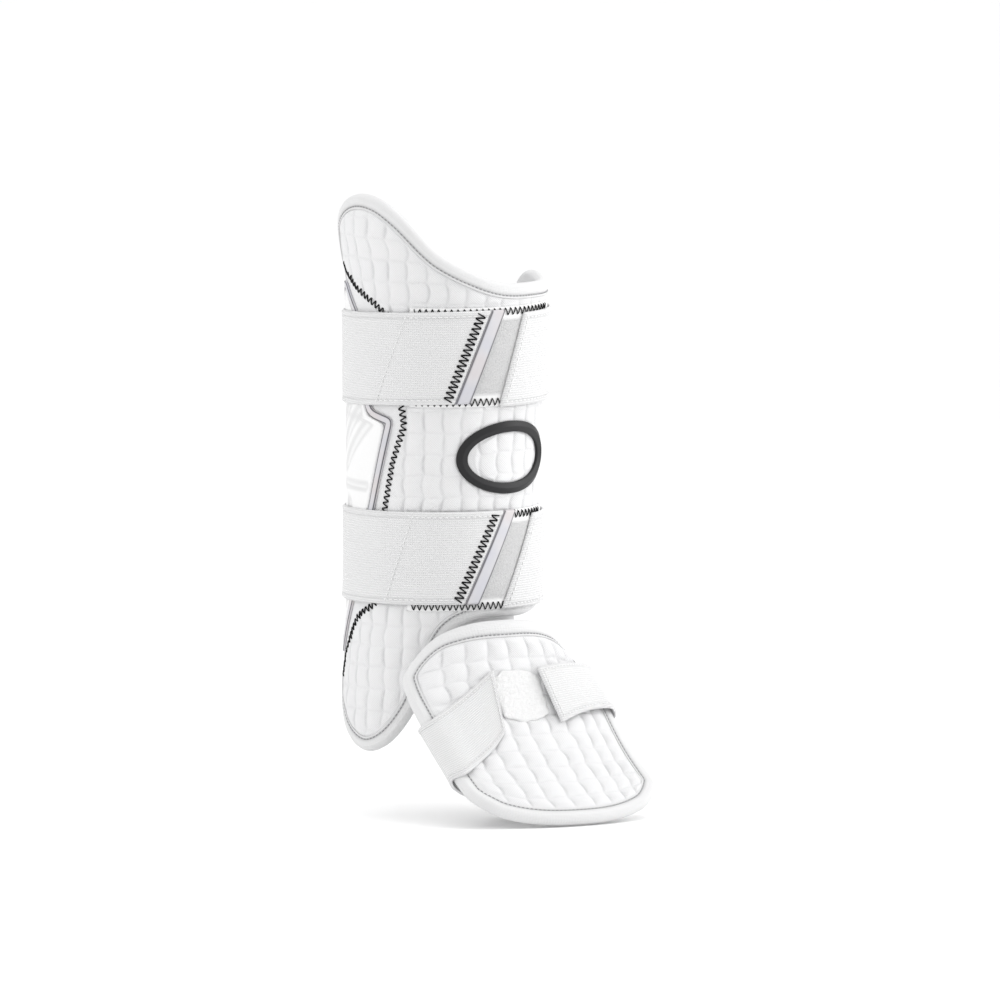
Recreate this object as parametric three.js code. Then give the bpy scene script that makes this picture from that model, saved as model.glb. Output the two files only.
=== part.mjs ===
import * as THREE from 'three';

// A batter's leg guard, closed as it is worn on an unseen leg and foot.
// Millimetres, +Z up along the shin, toes towards -Y, the wearer's outer side towards -X.
// The origin is the ankle's centre, on the centre line of the leg.
// A turn is an angle round the leg in degrees: 0 at the shin, 90 at the outer side, 180 at the calf.

// Fit between pieces that lie on or beside each other
const clearance = 0.3;

// Leg panel
const guardHeight = 384;
const lobeDepth = 29;
const calfRadius = 67.6;
const padWall = 8;
const legLean = 0.023;
const ribPitch = 12.9;
const ribDepth = 1.3;
const bindingRadius = 4.2;
const bindingGap = 0.5;

// Side shield
const shieldTop = 292;
const shieldHeight = 257;
const shieldSeat = 0.5;
const shieldThickness = 1.6;
const shieldRimWidth = 5.6;
const shieldRimThickness = 1.5;

// Leg straps, with the patches and tabs that they close on
const strapWidth = 64;
const strapThickness = 2;
const upperStrapHeight = 241.5;
const lowerStrapHeight = 105.4;
const tabEndTurn = -85;
const endStripTurn = 9.2;
const endStripThickness = 2.6;
const patchThickness = 1.8;
const patchMargin = 2.3;

// Badge on the shin, midway between the straps and clear of both
const badgeWidth = 78;
const badgeToStrap = 11;
const badgeRaise = 1;
const badgeBand = 7.5;
const badgeThickness = 3.2;
const badgeHeight = upperStrapHeight - lowerStrapHeight - strapWidth - 2 * badgeToStrap;
const badgeHeightOnShin = (upperStrapHeight + lowerStrapHeight) / 2 + badgeRaise;

// Foot flap and its strap
const footTurn = 11.1;
const flapTop = 63;
const flapGap = 86.2;
const flapLength = 165;
const flapReach = 96;
const flapDrop = 126;
const flapHalfWidth = 76;
const flapTopCorner = 24;
const flapToeCorner = 20;
const footPatchHalfWidth = 18.5;
const footPatchBack = 35;
const footPatchLength = 39;
const footPatchThickness = 1.5;
const footStrapThickness = 2;
const soleDrop = 62;

// Tongue between the leg panel and the flap
const tongueTop = 100;
const tongueThickness = 1.5;
const tongueTurn = 5;
const tongueHalfTurn = 25;

// Radius of the leg panel over its height, as shares of guardHeight and calfRadius
const legProfile = [
  { rise: 0.0, girth: 1.015 },
  { rise: 0.08, girth: 1.005 },
  { rise: 0.2, girth: 0.965 },
  { rise: 0.3, girth: 0.952 },
  { rise: 0.42, girth: 0.959 },
  { rise: 0.55, girth: 0.972 },
  { rise: 0.78, girth: 0.998 },
  { rise: 0.84, girth: 1.02 },
  { rise: 0.9, girth: 1.085 },
  { rise: 0.95, girth: 1.125 },
  { rise: 1.0, girth: 1.13 },
];

// Outline of the leg panel, from the inner top corner over the knee lobe and round the ankle lobe
const legOutline = [
  { turn: -80, rise: 0.842 },
  { turn: -52, rise: 0.838 },
  { turn: -20, rise: 0.839 },
  { turn: 8, rise: 0.844 },
  { turn: 27, rise: 0.864 },
  { turn: 46, rise: 0.897 },
  { turn: 67, rise: 0.963 },
  { turn: 82, rise: 0.993 },
  { turn: 97, rise: 1.0 },
  { turn: 113, rise: 0.985 },
  { turn: 127, rise: 0.95 },
  { turn: 137, rise: 0.89 },
  { turn: 143, rise: 0.81 },
  { turn: 149, rise: 0.72 },
  { turn: 150, rise: 0.45 },
  { turn: 148, rise: 0.24 },
  { turn: 138, rise: 0.12 },
  { turn: 124, rise: 0.058 },
  { turn: 106, rise: 0.014 },
  { turn: 90, rise: 0.0 },
  { turn: 75, rise: 0.017 },
  { turn: 60, rise: 0.068 },
  { turn: 48, rise: 0.15 },
  { turn: 36, rise: 0.218 },
  { turn: 20, rise: 0.24 },
  { turn: -20, rise: 0.242 },
  { turn: -60, rise: 0.255 },
  { turn: -80, rise: 0.262 },
  { turn: -90, rise: 0.3 },
  { turn: -92, rise: 0.55 },
  { turn: -90, rise: 0.805 },
];

// Side shield from its upper tip down, its front and back edges as turns
const shieldSections = [
  { fall: 0.0, front: 121, back: 131 },
  { fall: 0.078, front: 104, back: 139 },
  { fall: 0.33, front: 91, back: 143 },
  { fall: 0.352, front: 73.5, back: 143 },
  { fall: 0.6, front: 88, back: 143 },
  { fall: 0.856, front: 110, back: 140 },
  { fall: 1.0, front: 128, back: 134 },
];

// Sections of the foot flap from the ankle to the toes, as shares of its length, reach, drop and half width;
// the drift carries a section towards the inner side of the foot
const flapSections = [
  { along: 0.0, ridgeReach: 0.0, ridgeDrop: 0.0, edgeReach: -0.326, edgeDrop: 0.192, spread: 0.81, drift: 0.0 },
  { along: 0.15, ridgeReach: 0.073, ridgeDrop: 0.185, edgeReach: -0.167, edgeDrop: 0.315, spread: 0.95, drift: 0.0 },
  { along: 0.31, ridgeReach: 0.1875, ridgeDrop: 0.37, edgeReach: 0.031, edgeDrop: 0.42, spread: 1.0, drift: 0.0 },
  { along: 0.59, ridgeReach: 0.47, ridgeDrop: 0.654, edgeReach: 0.41, edgeDrop: 0.673, spread: 0.985, drift: 0.02 },
  { along: 1.0, ridgeReach: 1.0, ridgeDrop: 1.0, edgeReach: 0.796, edgeDrop: 0.885, spread: 0.97, drift: 0.075 },
];

// Foot strap where it lies on the flap: place across and along it, as shares of its half width and length
const strapOnOuterSide = [
  { across: 0.22, back: 0.2, across2: 0.31, front: 0.51 },
  { across: 0.45, back: 0.28, across2: 0.5, front: 0.59 },
  { across: 0.68, back: 0.35, across2: 0.7, front: 0.66 },
  { across: 0.93, back: 0.41, across2: 0.93, front: 0.755 },
];
const strapOnInnerSide = [
  { across: -0.22, back: 0.21, across2: -0.29, front: 0.485 },
  { across: -0.5, back: 0.195, across2: -0.55, front: 0.44 },
  { across: -0.75, back: 0.18, across2: -0.78, front: 0.42 },
  { across: -0.94, back: 0.17, across2: -0.94, front: 0.42 },
];

// Foot strap under the sole, from the outer to the inner side: side as a share of the flap's half width,
// ahead of the leg's centre line as shares of the flap's reach, and hang as a share of the sole's drop
const strapUnderSole = [
  { side: 0.78, back: 1.1, front: 1.44, hangBack: 0.5, hangFront: 0.8 },
  { side: 0.45, back: 1.06, front: 1.42, hangBack: 0.78, hangFront: 0.95 },
  { side: 0.0, back: 1.0, front: 1.4, hangBack: 0.95, hangFront: 1.03 },
  { side: -0.45, back: 0.92, front: 1.34, hangBack: 0.86, hangFront: 0.98 },
  { side: -0.82, back: 0.84, front: 1.26, hangBack: 0.42, hangFront: 0.68 },
];

// Tongue from its top down: its heights inside the leg panel, how far beyond that panel's inside it passes
// under the lower edge, both as shares of tongueTop, and its places inside the flap as shares of flapLength
const tongueInLeg = [1.0, 0.84, 0.7, 0.58];
const tongueBridge = [
  { beyond: 0.04, height: 0.525 },
  { beyond: 0.14, height: 0.48 },
  { beyond: 0.23, height: 0.42 },
];
const tongueOnFlap = [0.158, 0.218, 0.279];

const degree = Math.PI / 180;

// Reads a smooth curve through a table's rows
function readTable(table, by, column, at) {
  const last = table.length - 1;
  let k = 0;
  while (k < last - 1 && at > table[k + 1][by]) k += 1;
  const slope = (i, j) => (table[j][column] - table[i][column]) / (table[j][by] - table[i][by]);
  const tangent = (i) => {
    if (i === 0) return slope(0, 1);
    if (i === last) return slope(last - 1, last);
    const before = slope(i - 1, i);
    const after = slope(i, i + 1);
    return before * after <= 0 ? 0 : (2 * before * after) / (before + after);
  };
  const width = table[k + 1][by] - table[k][by];
  const u = THREE.MathUtils.clamp((at - table[k][by]) / width, 0, 1);
  const low = table[k][column];
  const high = table[k + 1][column];
  return (2 * u ** 3 - 3 * u ** 2 + 1) * low + (u ** 3 - 2 * u ** 2 + u) * width * tangent(k)
    + (3 * u ** 2 - 2 * u ** 3) * high + (u ** 3 - u ** 2) * width * tangent(k + 1);
}

// A point on the leg, lifted off the outside of the leg panel's ribs
function legRadius(height) {
  return calfRadius * readTable(legProfile, 'rise', 'girth', (height + lobeDepth) / guardHeight);
}

function legPoint(turn, height, lift) {
  const reach = legRadius(height) + lift;
  return new THREE.Vector3(
    -reach * Math.sin(turn * degree),
    -legLean * height - reach * Math.cos(turn * degree),
    height,
  );
}

// The leg panel is laid flat with this much girth for each degree of turn, at the middle of its wall
const girthPerTurn = (calfRadius - padWall / 2) * degree;

function legSurface(across, height, lift) {
  return legPoint(across / girthPerTurn, height, lift);
}

// The foot's own directions and a point beside the leg's centre line
const footAhead = new THREE.Vector3(-Math.sin(footTurn * degree), -Math.cos(footTurn * degree), 0);
const footOutwards = new THREE.Vector3(-Math.cos(footTurn * degree), Math.sin(footTurn * degree), 0);

function footPoint(ahead, side, height) {
  return new THREE.Vector3(0, 0, height).addScaledVector(footAhead, ahead).addScaledVector(footOutwards, side);
}

// A point on the flap, lifted off the outside of its ribs
function flapSkin(across, along) {
  const share = THREE.MathUtils.clamp(along / flapLength, 0, 1);
  const read = (column) => readTable(flapSections, 'along', column, share);
  const side = across / flapHalfWidth;
  const ridge = flapGap + flapReach * read('ridgeReach');
  const edge = flapGap + flapReach * read('edgeReach');
  const ridgeHeight = flapTop - flapDrop * read('ridgeDrop');
  const edgeHeight = flapTop - flapDrop * read('edgeDrop');
  return footPoint(
    ridge - (ridge - edge) * side ** 2,
    flapHalfWidth * (read('spread') * side - read('drift')),
    ridgeHeight - (ridgeHeight - edgeHeight) * Math.abs(side) ** 3,
  );
}

function flapSurface(across, along, lift) {
  const step = 1;
  const inside = THREE.MathUtils.clamp(along, step, flapLength - step);
  const down = flapSkin(across, inside + step).sub(flapSkin(across, inside - step));
  const outwards = flapSkin(across + step, inside).sub(flapSkin(across - step, inside));
  const normal = outwards.cross(down).normalize();
  return flapSkin(across, along).addScaledVector(normal, lift);
}

// Closed bodies from grids of points
function signedVolume(points, faces) {
  let volume = 0;
  for (let i = 0; i < faces.length; i += 3) {
    const [a, b, c] = [points[faces[i]], points[faces[i + 1]], points[faces[i + 2]]];
    volume += a.dot(new THREE.Vector3().crossVectors(b, c));
  }
  return volume;
}

function bodyFrom(points, faces) {
  if (signedVolume(points, faces) < 0) faces.reverse();
  const geometry = new THREE.BufferGeometry().setFromPoints(points);
  geometry.setIndex(faces);
  geometry.computeVertexNormals();
  return geometry;
}

function addQuad(faces, a, b, c, d) {
  faces.push(a, b, c, a, c, d);
}

// A sheet with a thickness: outer and inner grids of the same size, joined round their rims
function sheetBody(outer, inner) {
  const columns = outer.length;
  const rows = outer[0].length;
  const points = [...outer.flat(), ...inner.flat()];
  const faces = [];
  const top = (i, j) => i * rows + j;
  const under = (i, j) => columns * rows + i * rows + j;
  for (let i = 0; i + 1 < columns; i += 1) {
    for (let j = 0; j + 1 < rows; j += 1) {
      addQuad(faces, top(i, j), top(i + 1, j), top(i + 1, j + 1), top(i, j + 1));
      addQuad(faces, under(i, j), under(i, j + 1), under(i + 1, j + 1), under(i + 1, j));
    }
    addQuad(faces, under(i, 0), under(i + 1, 0), top(i + 1, 0), top(i, 0));
    addQuad(faces, top(i, rows - 1), top(i + 1, rows - 1), under(i + 1, rows - 1), under(i, rows - 1));
  }
  for (let j = 0; j + 1 < rows; j += 1) {
    addQuad(faces, top(0, j), top(0, j + 1), under(0, j + 1), under(0, j));
    addQuad(faces, under(columns - 1, j), under(columns - 1, j + 1), top(columns - 1, j + 1), top(columns - 1, j));
  }
  return bodyFrom(points, faces);
}

// A closed ring: the same section carried round a loop of places
function ringBody(sections) {
  const sides = sections[0].length;
  const points = sections.flat();
  const faces = [];
  sections.forEach((section, i) => {
    const next = (i + 1) % sections.length;
    for (let j = 0; j < sides; j += 1) {
      const k = (j + 1) % sides;
      addQuad(faces, i * sides + j, i * sides + k, next * sides + k, next * sides + j);
    }
  });
  return bodyFrom(points, faces);
}

// Flat outlines, as loops of points across and along a panel
function loopArea(loop) {
  return loop.reduce((area, p, i) => {
    const q = loop[(i + 1) % loop.length];
    return area + (p.x * q.y - q.x * p.y) / 2;
  }, 0);
}

function loopOutwards(loop, i) {
  const before = loop[(i + loop.length - 1) % loop.length];
  const after = loop[(i + 1) % loop.length];
  const edgeIn = loop[i].clone().sub(before).normalize();
  const edgeOut = after.clone().sub(loop[i]).normalize();
  const miter = edgeIn.clone().add(edgeOut);
  const outwards = new THREE.Vector2(miter.y, -miter.x).multiplyScalar(Math.sign(loopArea(loop)));
  return outwards.divideScalar(1 + edgeIn.dot(edgeOut));
}

function insetLoop(loop, distance) {
  return loop.map((p, i) => p.clone().addScaledVector(loopOutwards(loop, i), -distance));
}

// The same inset, measured square to the edge in the middle of a pad's wall, where the surface
// stretches the outline
function insetOnPad(loop, distance, surface) {
  return loop.map((p, i) => {
    const outwards = loopOutwards(loop, i);
    const place = (x, y) => surface(x, y, -padWall / 2);
    const here = place(p.x, p.y);
    const across = place(p.x - outwards.x, p.y - outwards.y).sub(here);
    const along = place(p.x - outwards.y, p.y + outwards.x).sub(here).normalize();
    return p.clone().addScaledVector(outwards, (-distance * outwards.length()) / across.cross(along).length());
  });
}

// Lowest and highest place where a line across the loop meets it
function spanAt(loop, at, line, value) {
  const found = [];
  loop.forEach((p, i) => {
    const q = loop[(i + 1) % loop.length];
    if ((p[line] - at) * (q[line] - at) > 0 || p[line] === q[line]) return;
    found.push(p[value] + ((at - p[line]) / (q[line] - p[line])) * (q[value] - p[value]));
  });
  return [Math.min(...found), Math.max(...found)];
}

// Ribs of the quilting run along a panel: their skin falls away into the seams
function ribFall(across) {
  return ribDepth * (1 - Math.abs(Math.sin((Math.PI * across) / ribPitch)));
}

// A ribbed pad inside its binding, in columns across the panel
const columnsPerRib = 3;

// Rows lie closer together towards both ends of a column
const rowCrowding = 0.25;

function rowShare(j, rows) {
  const even = j / (rows - 1);
  return even - (rowCrowding * Math.sin(2 * Math.PI * even)) / (2 * Math.PI);
}

function ribbedPad(outline, surface, rows) {
  const loop = insetOnPad(outline, 2 * bindingRadius + bindingGap, surface);
  const reach = loop.map((p) => p.x);
  const rimStep = 1;
  const first = Math.min(...reach) + rimStep;
  const last = Math.max(...reach) - rimStep;
  const step = ribPitch / columnsPerRib;
  const places = [first];
  for (let k = Math.ceil(first / step + 0.5); k * step < last - step / 2; k += 1) places.push(k * step);
  places.push(last);
  const sideAt = (along, k) => spanAt(loop, along, 'y', 'x')[k];
  const column = (across, wall) => {
    const [low, high] = spanAt(loop, across, 'x', 'y');
    const depth = wall === 0 ? -ribFall(across) : -wall;
    return Array.from({ length: rows }, (_, j) => {
      const along = THREE.MathUtils.lerp(low, high, rowShare(j, rows));
      if (across === first) return surface(sideAt(along, 0), along, depth);
      if (across === last) return surface(sideAt(along, 1), along, depth);
      return surface(across, along, depth);
    });
  };
  return sheetBody(places.map((a) => column(a, 0)), places.map((a) => column(a, padWall)));
}

// The rolled edge of a pad: a round binding that follows the outline
const bindingSides = 6;

function bindingRing(outline, surface) {
  const middle = insetOnPad(outline, bindingRadius, surface);
  const lift = -padWall / 2;
  const centres = middle.map((p) => surface(p.x, p.y, lift));
  const sections = middle.map((p, i) => {
    const centre = centres[i];
    const before = centres[(i + centres.length - 1) % centres.length];
    const forward = centres[(i + 1) % centres.length].clone().sub(before).normalize();
    const aside = surface(p.x, p.y, lift + 1).sub(centre).cross(forward).normalize();
    const up = forward.clone().cross(aside);
    return Array.from({ length: bindingSides }, (_, j) => {
      const angle = (2 * Math.PI * (j + 0.5)) / bindingSides;
      return centre.clone()
        .addScaledVector(aside, bindingRadius * Math.cos(angle))
        .addScaledVector(up, bindingRadius * Math.sin(angle));
    });
  });
  return ringBody(sections);
}

// A band round the leg between two turns, whose ends may slant and whose height may lean
const bandStep = 5.5;
const bandRows = 3;

function legBand({ startTurn, endTurn, low, high, lift, thickness }) {
  const middle = Math.abs(endTurn(0.5) - startTurn(0.5));
  const columns = Math.ceil(middle / bandStep) + 1;
  const point = (i, j, rise) => {
    const share = j / bandRows;
    const turn = THREE.MathUtils.lerp(startTurn(share), endTurn(share), i / (columns - 1));
    return legPoint(turn, THREE.MathUtils.lerp(low(turn), high(turn), share), rise);
  };
  const grid = (rise) => Array.from({ length: columns }, (_, i) => (
    Array.from({ length: bandRows + 1 }, (_unused, j) => point(i, j, rise))
  ));
  return sheetBody(grid(lift + thickness), grid(lift));
}

// Materials
const finish = (color, roughness) => new THREE.MeshStandardMaterial({ color, roughness, metalness: 0 });
const quiltFabric = finish(0xf1f1f2, 0.9);
const bindingTape = finish(0xe6e6e8, 0.85);
const elasticWeb = finish(0xe4e4e6, 0.9);
const loopPile = finish(0xe0e0e2, 0.95);
const satinStrip = finish(0xd6d6dd, 0.45);
const shieldPlastic = finish(0xf3f3f3, 0.45);
const badgeRubber = finish(0x1d1d1f, 0.55);
const tongueFabric = finish(0xdedee0, 0.9);

const legGuard = new THREE.Group();

function addPiece(name, geometry, material) {
  const piece = new THREE.Mesh(geometry, material);
  piece.name = name;
  legGuard.add(piece);
}

// Leg panel and its binding
const legOutlinePlaces = 100;
const legRows = legOutline.map(({ turn, rise }) => new THREE.Vector3(
  turn * girthPerTurn,
  rise * guardHeight - lobeDepth,
  0,
));
const legLoop = new THREE.CatmullRomCurve3(legRows, true, 'centripetal')
  .getSpacedPoints(legOutlinePlaces)
  .slice(0, legOutlinePlaces)
  .map((p) => new THREE.Vector2(p.x, p.y));
const legPadRows = 13;
addPiece('leg_panel', ribbedPad(legLoop, legSurface, legPadRows), quiltFabric);
addPiece('leg_binding', bindingRing(legLoop, legSurface), bindingTape);

// Side shield: a thin moulded plate inside a raised rim
const shieldSide = (edge) => shieldSections.map((row) => new THREE.Vector2(
  row[edge] * girthPerTurn,
  shieldTop - row.fall * shieldHeight,
));
const shieldLoop = [...shieldSide('front'), ...shieldSide('back').reverse()];

function subdivide(loop, step) {
  return loop.flatMap((p, i) => {
    const q = loop[(i + 1) % loop.length];
    const parts = Math.max(1, Math.round(p.distanceTo(q) / step));
    return Array.from({ length: parts }, (_, k) => p.clone().lerp(q, k / parts));
  });
}

const shieldRimPlaces = insetLoop(shieldLoop, shieldRimWidth / 2);
const shieldStep = 8;
const shieldRimCrest = 0.8;

function shieldRim() {
  const middle = subdivide(shieldRimPlaces, shieldStep);
  const sections = middle.map((p, i) => {
    const outwards = loopOutwards(middle, i).multiplyScalar(shieldRimWidth / 2);
    const corner = (side, lift) => legSurface(p.x + side * outwards.x, p.y + side * outwards.y, lift);
    const top = shieldSeat + shieldRimThickness;
    return [
      corner(1, shieldSeat),
      corner(shieldRimCrest, top),
      corner(-shieldRimCrest, top),
      corner(-1, shieldSeat),
    ];
  });
  return ringBody(sections);
}

const shieldPlateStep = 30;
const shieldTip = 3;
const shieldPlateColumns = 12;

function shieldPlate() {
  const loop = insetLoop(shieldLoop, shieldRimWidth + clearance);
  const corners = loop.map((p) => p.y).sort((p, q) => p - q);
  corners[0] += shieldTip;
  corners[corners.length - 1] -= shieldTip;
  const heights = corners.filter((height, i) => i === 0 || height > corners[i - 1]).flatMap((height, i, all) => {
    const next = all[i + 1] ?? height;
    const parts = Math.max(1, Math.ceil((next - height) / shieldPlateStep));
    return Array.from({ length: parts }, (_, k) => height + ((next - height) * k) / parts);
  });
  const grid = (lift) => heights.map((height) => {
    const [from, to] = spanAt(loop, height, 'y', 'x');
    return Array.from({ length: shieldPlateColumns }, (_, i) => {
      const across = THREE.MathUtils.lerp(from, to, i / (shieldPlateColumns - 1));
      return legSurface(across, height, lift);
    });
  });
  return sheetBody(grid(shieldSeat + shieldThickness), grid(shieldSeat));
}

addPiece('side_shield', shieldPlate(), shieldPlastic);
addPiece('shield_rim', shieldRim(), satinStrip);

// Leg straps. Each lies over a loop patch at the front and starts at a tab on the inner side.
// Slants are turns at the lower and the upper edge. The strap climbs towards the shin, and its tab and
// patch sit higher or lower than its middle, all by shares of strapWidth.
const legStraps = [
  {
    level: 'upper', height: upperStrapHeight, climb: 0.055, endLow: 37, endHigh: 17,
    tabLow: 9.8, tabHigh: -6.4, tabRaise: 0.008, patchRaise: 0.047,
  },
  {
    level: 'lower', height: lowerStrapHeight, climb: 0.016, endLow: 29.5, endHigh: 5.5,
    tabLow: 5, tabHigh: -21, tabRaise: -0.053, patchRaise: -0.025,
  },
];
const climbTurn = 10;
const patchFrontTurn = 64;
const patchBackTurn = -42;
const strapLift = patchThickness + 2 * clearance;

for (const strap of legStraps) {
  const lean = (turn) => strapWidth * strap.climb * Math.cos((turn - climbTurn) * degree);
  const edgeGap = clearance / girthPerTurn;
  const bottom = (turn) => strap.height - strapWidth / 2 + lean(turn);
  const top = (turn) => strap.height + strapWidth / 2 + lean(turn);
  const tabMiddle = strap.height + strapWidth * strap.tabRaise;
  const patchMiddle = strap.height + strapWidth * strap.patchRaise;
  const strapEnd = (share) => THREE.MathUtils.lerp(strap.endLow, strap.endHigh, share);
  addPiece(`${strap.level}_strap`, legBand({
    startTurn: strapEnd,
    endTurn: () => 360 + tabEndTurn - edgeGap,
    low: bottom,
    high: top,
    lift: strapLift,
    thickness: strapThickness,
  }), elasticWeb);
  addPiece(`${strap.level}_end_strip`, legBand({
    startTurn: (share) => strapEnd(share) - endStripTurn,
    endTurn: (share) => strapEnd(share) - edgeGap,
    low: bottom,
    high: top,
    lift: strapLift,
    thickness: endStripThickness,
  }), satinStrip);
  addPiece(`${strap.level}_tab`, legBand({
    startTurn: () => tabEndTurn,
    endTurn: (share) => THREE.MathUtils.lerp(strap.tabLow, strap.tabHigh, share),
    low: () => tabMiddle - strapWidth / 2,
    high: () => tabMiddle + strapWidth / 2,
    lift: strapLift,
    thickness: strapThickness,
  }), elasticWeb);
  addPiece(`${strap.level}_loop_patch`, legBand({
    startTurn: () => patchBackTurn,
    endTurn: () => patchFrontTurn,
    low: () => patchMiddle - strapWidth / 2 - patchMargin,
    high: () => patchMiddle + strapWidth / 2 + patchMargin,
    lift: clearance,
    thickness: patchThickness,
  }), loopPile);
}

// Badge: a plain oval of bevelled rubber on the shin
const badgePlaces = 32;

function badgeRing() {
  const sections = Array.from({ length: badgePlaces }, (_, i) => {
    const angle = (2 * Math.PI * i) / badgePlaces;
    const corner = (inset, lift) => legSurface(
      (badgeWidth / 2 - inset) * Math.cos(angle),
      badgeHeightOnShin + (badgeHeight / 2 - inset) * Math.sin(angle),
      lift,
    );
    const crest = clearance + badgeThickness;
    const shoulder = clearance + badgeThickness / 2;
    return [corner(0, clearance), corner(0, shoulder), corner(badgeBand / 2, crest),
      corner(badgeBand, shoulder), corner(badgeBand, clearance)];
  });
  return ringBody(sections);
}

addPiece('front_badge', badgeRing(), badgeRubber);

// Foot flap: a rounded outline on the flap's own surface
const flapSideStep = 9;
const cornerSteps = 5;

function flapOutline() {
  const corner = (x, y, radius, start) => Array.from({ length: cornerSteps + 1 }, (_, k) => {
    const angle = (start + (90 * k) / cornerSteps) * degree;
    return new THREE.Vector2(x + radius * Math.cos(angle), y + radius * Math.sin(angle));
  });
  const top = flapTopCorner;
  const toe = flapToeCorner;
  const corners = [
    ...corner(flapHalfWidth - toe, flapLength - toe, toe, 0),
    ...corner(toe - flapHalfWidth, flapLength - toe, toe, 90),
    ...corner(top - flapHalfWidth, top, top, 180),
    ...corner(flapHalfWidth - top, top, top, 270),
  ];
  return subdivide(corners, flapSideStep);
}

const flapLoop = flapOutline();
const flapRows = 10;
addPiece('foot_panel', ribbedPad(flapLoop, flapSurface, flapRows), quiltFabric);
addPiece('foot_binding', bindingRing(flapLoop, flapSurface), bindingTape);

// Fuzzy patch on the flap
const footPatchColumns = 7;
const footPatchRows = 6;

function footPatch() {
  const grid = (lift) => Array.from({ length: footPatchColumns }, (_, i) => (
    Array.from({ length: footPatchRows }, (_unused, j) => flapSurface(
      THREE.MathUtils.lerp(-footPatchHalfWidth, footPatchHalfWidth, i / (footPatchColumns - 1)),
      footPatchBack + (footPatchLength * j) / (footPatchRows - 1),
      lift,
    ))
  ));
  return sheetBody(grid(clearance + footPatchThickness), grid(clearance));
}

addPiece('foot_loop_patch', footPatch(), loopPile);

// Foot strap: its back and front edges each follow one smooth curve over the flap and under the sole
const footStrapSteps = 50;
const footStrapRows = 3;
const footStrapLift = clearance + footPatchThickness + clearance + footStrapThickness / 2;
const foldOut = 2.6;
const foldUnder = 3.2;
const innerStandOff = 2;

function footStrapEdge(edge) {
  const isBack = edge === 'back';
  const across = (row) => flapHalfWidth * (isBack ? row.across : row.across2);
  const along = (row) => flapLength * row[edge];
  const side = (rows, extra) => rows.map((row) => flapSurface(across(row), along(row), footStrapLift + extra));
  const fold = (row, out) => {
    const sign = Math.sign(row.across);
    const rim = sign * flapHalfWidth;
    return [
      flapSurface(rim + sign * out, along(row), -padWall / 2),
      flapSurface(rim - sign, along(row), -padWall - foldUnder),
    ];
  };
  const sole = strapUnderSole.map((row) => footPoint(
    flapReach * row[edge],
    flapHalfWidth * row.side,
    -soleDrop * (isBack ? row.hangBack : row.hangFront),
  ));
  const outer = strapOnOuterSide;
  const inner = strapOnInnerSide;
  return new THREE.CatmullRomCurve3([
    ...side(outer, 0),
    ...fold(outer[outer.length - 1], foldOut),
    ...sole,
    ...fold(inner[inner.length - 1], foldOut + innerStandOff).reverse(),
    ...side(inner, innerStandOff).reverse(),
  ], false, 'centripetal').getPoints(footStrapSteps);
}

function footStrap() {
  const back = footStrapEdge('back');
  const front = footStrapEdge('front');
  const middle = (i, share) => back[i].clone().lerp(front[i], share);
  const grid = (lift) => back.map((_, i) => Array.from({ length: footStrapRows }, (_unused, j) => {
    const share = j / (footStrapRows - 1);
    const ahead = middle(Math.min(i + 1, back.length - 1), share).sub(middle(Math.max(i - 1, 0), share));
    const width = front[i].clone().sub(back[i]);
    return middle(i, share).addScaledVector(ahead.cross(width).normalize(), lift);
  }));
  return sheetBody(grid(footStrapThickness / 2), grid(-footStrapThickness / 2));
}

addPiece('foot_strap', footStrap(), elasticWeb);

// Tongue: from the inside of the leg panel, under its lower edge, to the inside of the flap
const tongueColumns = 9;
const tongueLift = -padWall - 2 * clearance - tongueThickness / 2;

function tongue() {
  const middle = Array.from({ length: tongueColumns }, (_, i) => {
    const turn = tongueTurn + tongueHalfTurn * ((2 * i) / (tongueColumns - 1) - 1);
    const inLeg = tongueInLeg.map((rise) => legPoint(turn, tongueTop * rise, tongueLift));
    const bridge = tongueBridge.map((row) => (
      legPoint(turn, tongueTop * row.height, tongueLift + tongueTop * row.beyond)
    ));
    const across = (flapGap - padWall) * Math.sin((turn - footTurn) * degree);
    const onFlap = tongueOnFlap.map((along) => flapSurface(across, flapLength * along, tongueLift));
    return [...inLeg, ...bridge, ...onFlap];
  });
  const offset = (lift) => middle.map((column, i) => column.map((p, j) => {
    const down = column[Math.min(j + 1, column.length - 1)].clone().sub(column[Math.max(j - 1, 0)]);
    const next = middle[Math.min(i + 1, middle.length - 1)][j];
    const aside = next.clone().sub(middle[Math.max(i - 1, 0)][j]);
    return p.clone().addScaledVector(down.cross(aside).normalize(), lift);
  }));
  return sheetBody(offset(tongueThickness / 2), offset(-tongueThickness / 2));
}

addPiece('instep_tongue', tongue(), tongueFabric);

export default legGuard;
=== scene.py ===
import math

import bmesh
import bpy
import numpy as np
from mathutils import Matrix, Vector, noise


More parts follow.
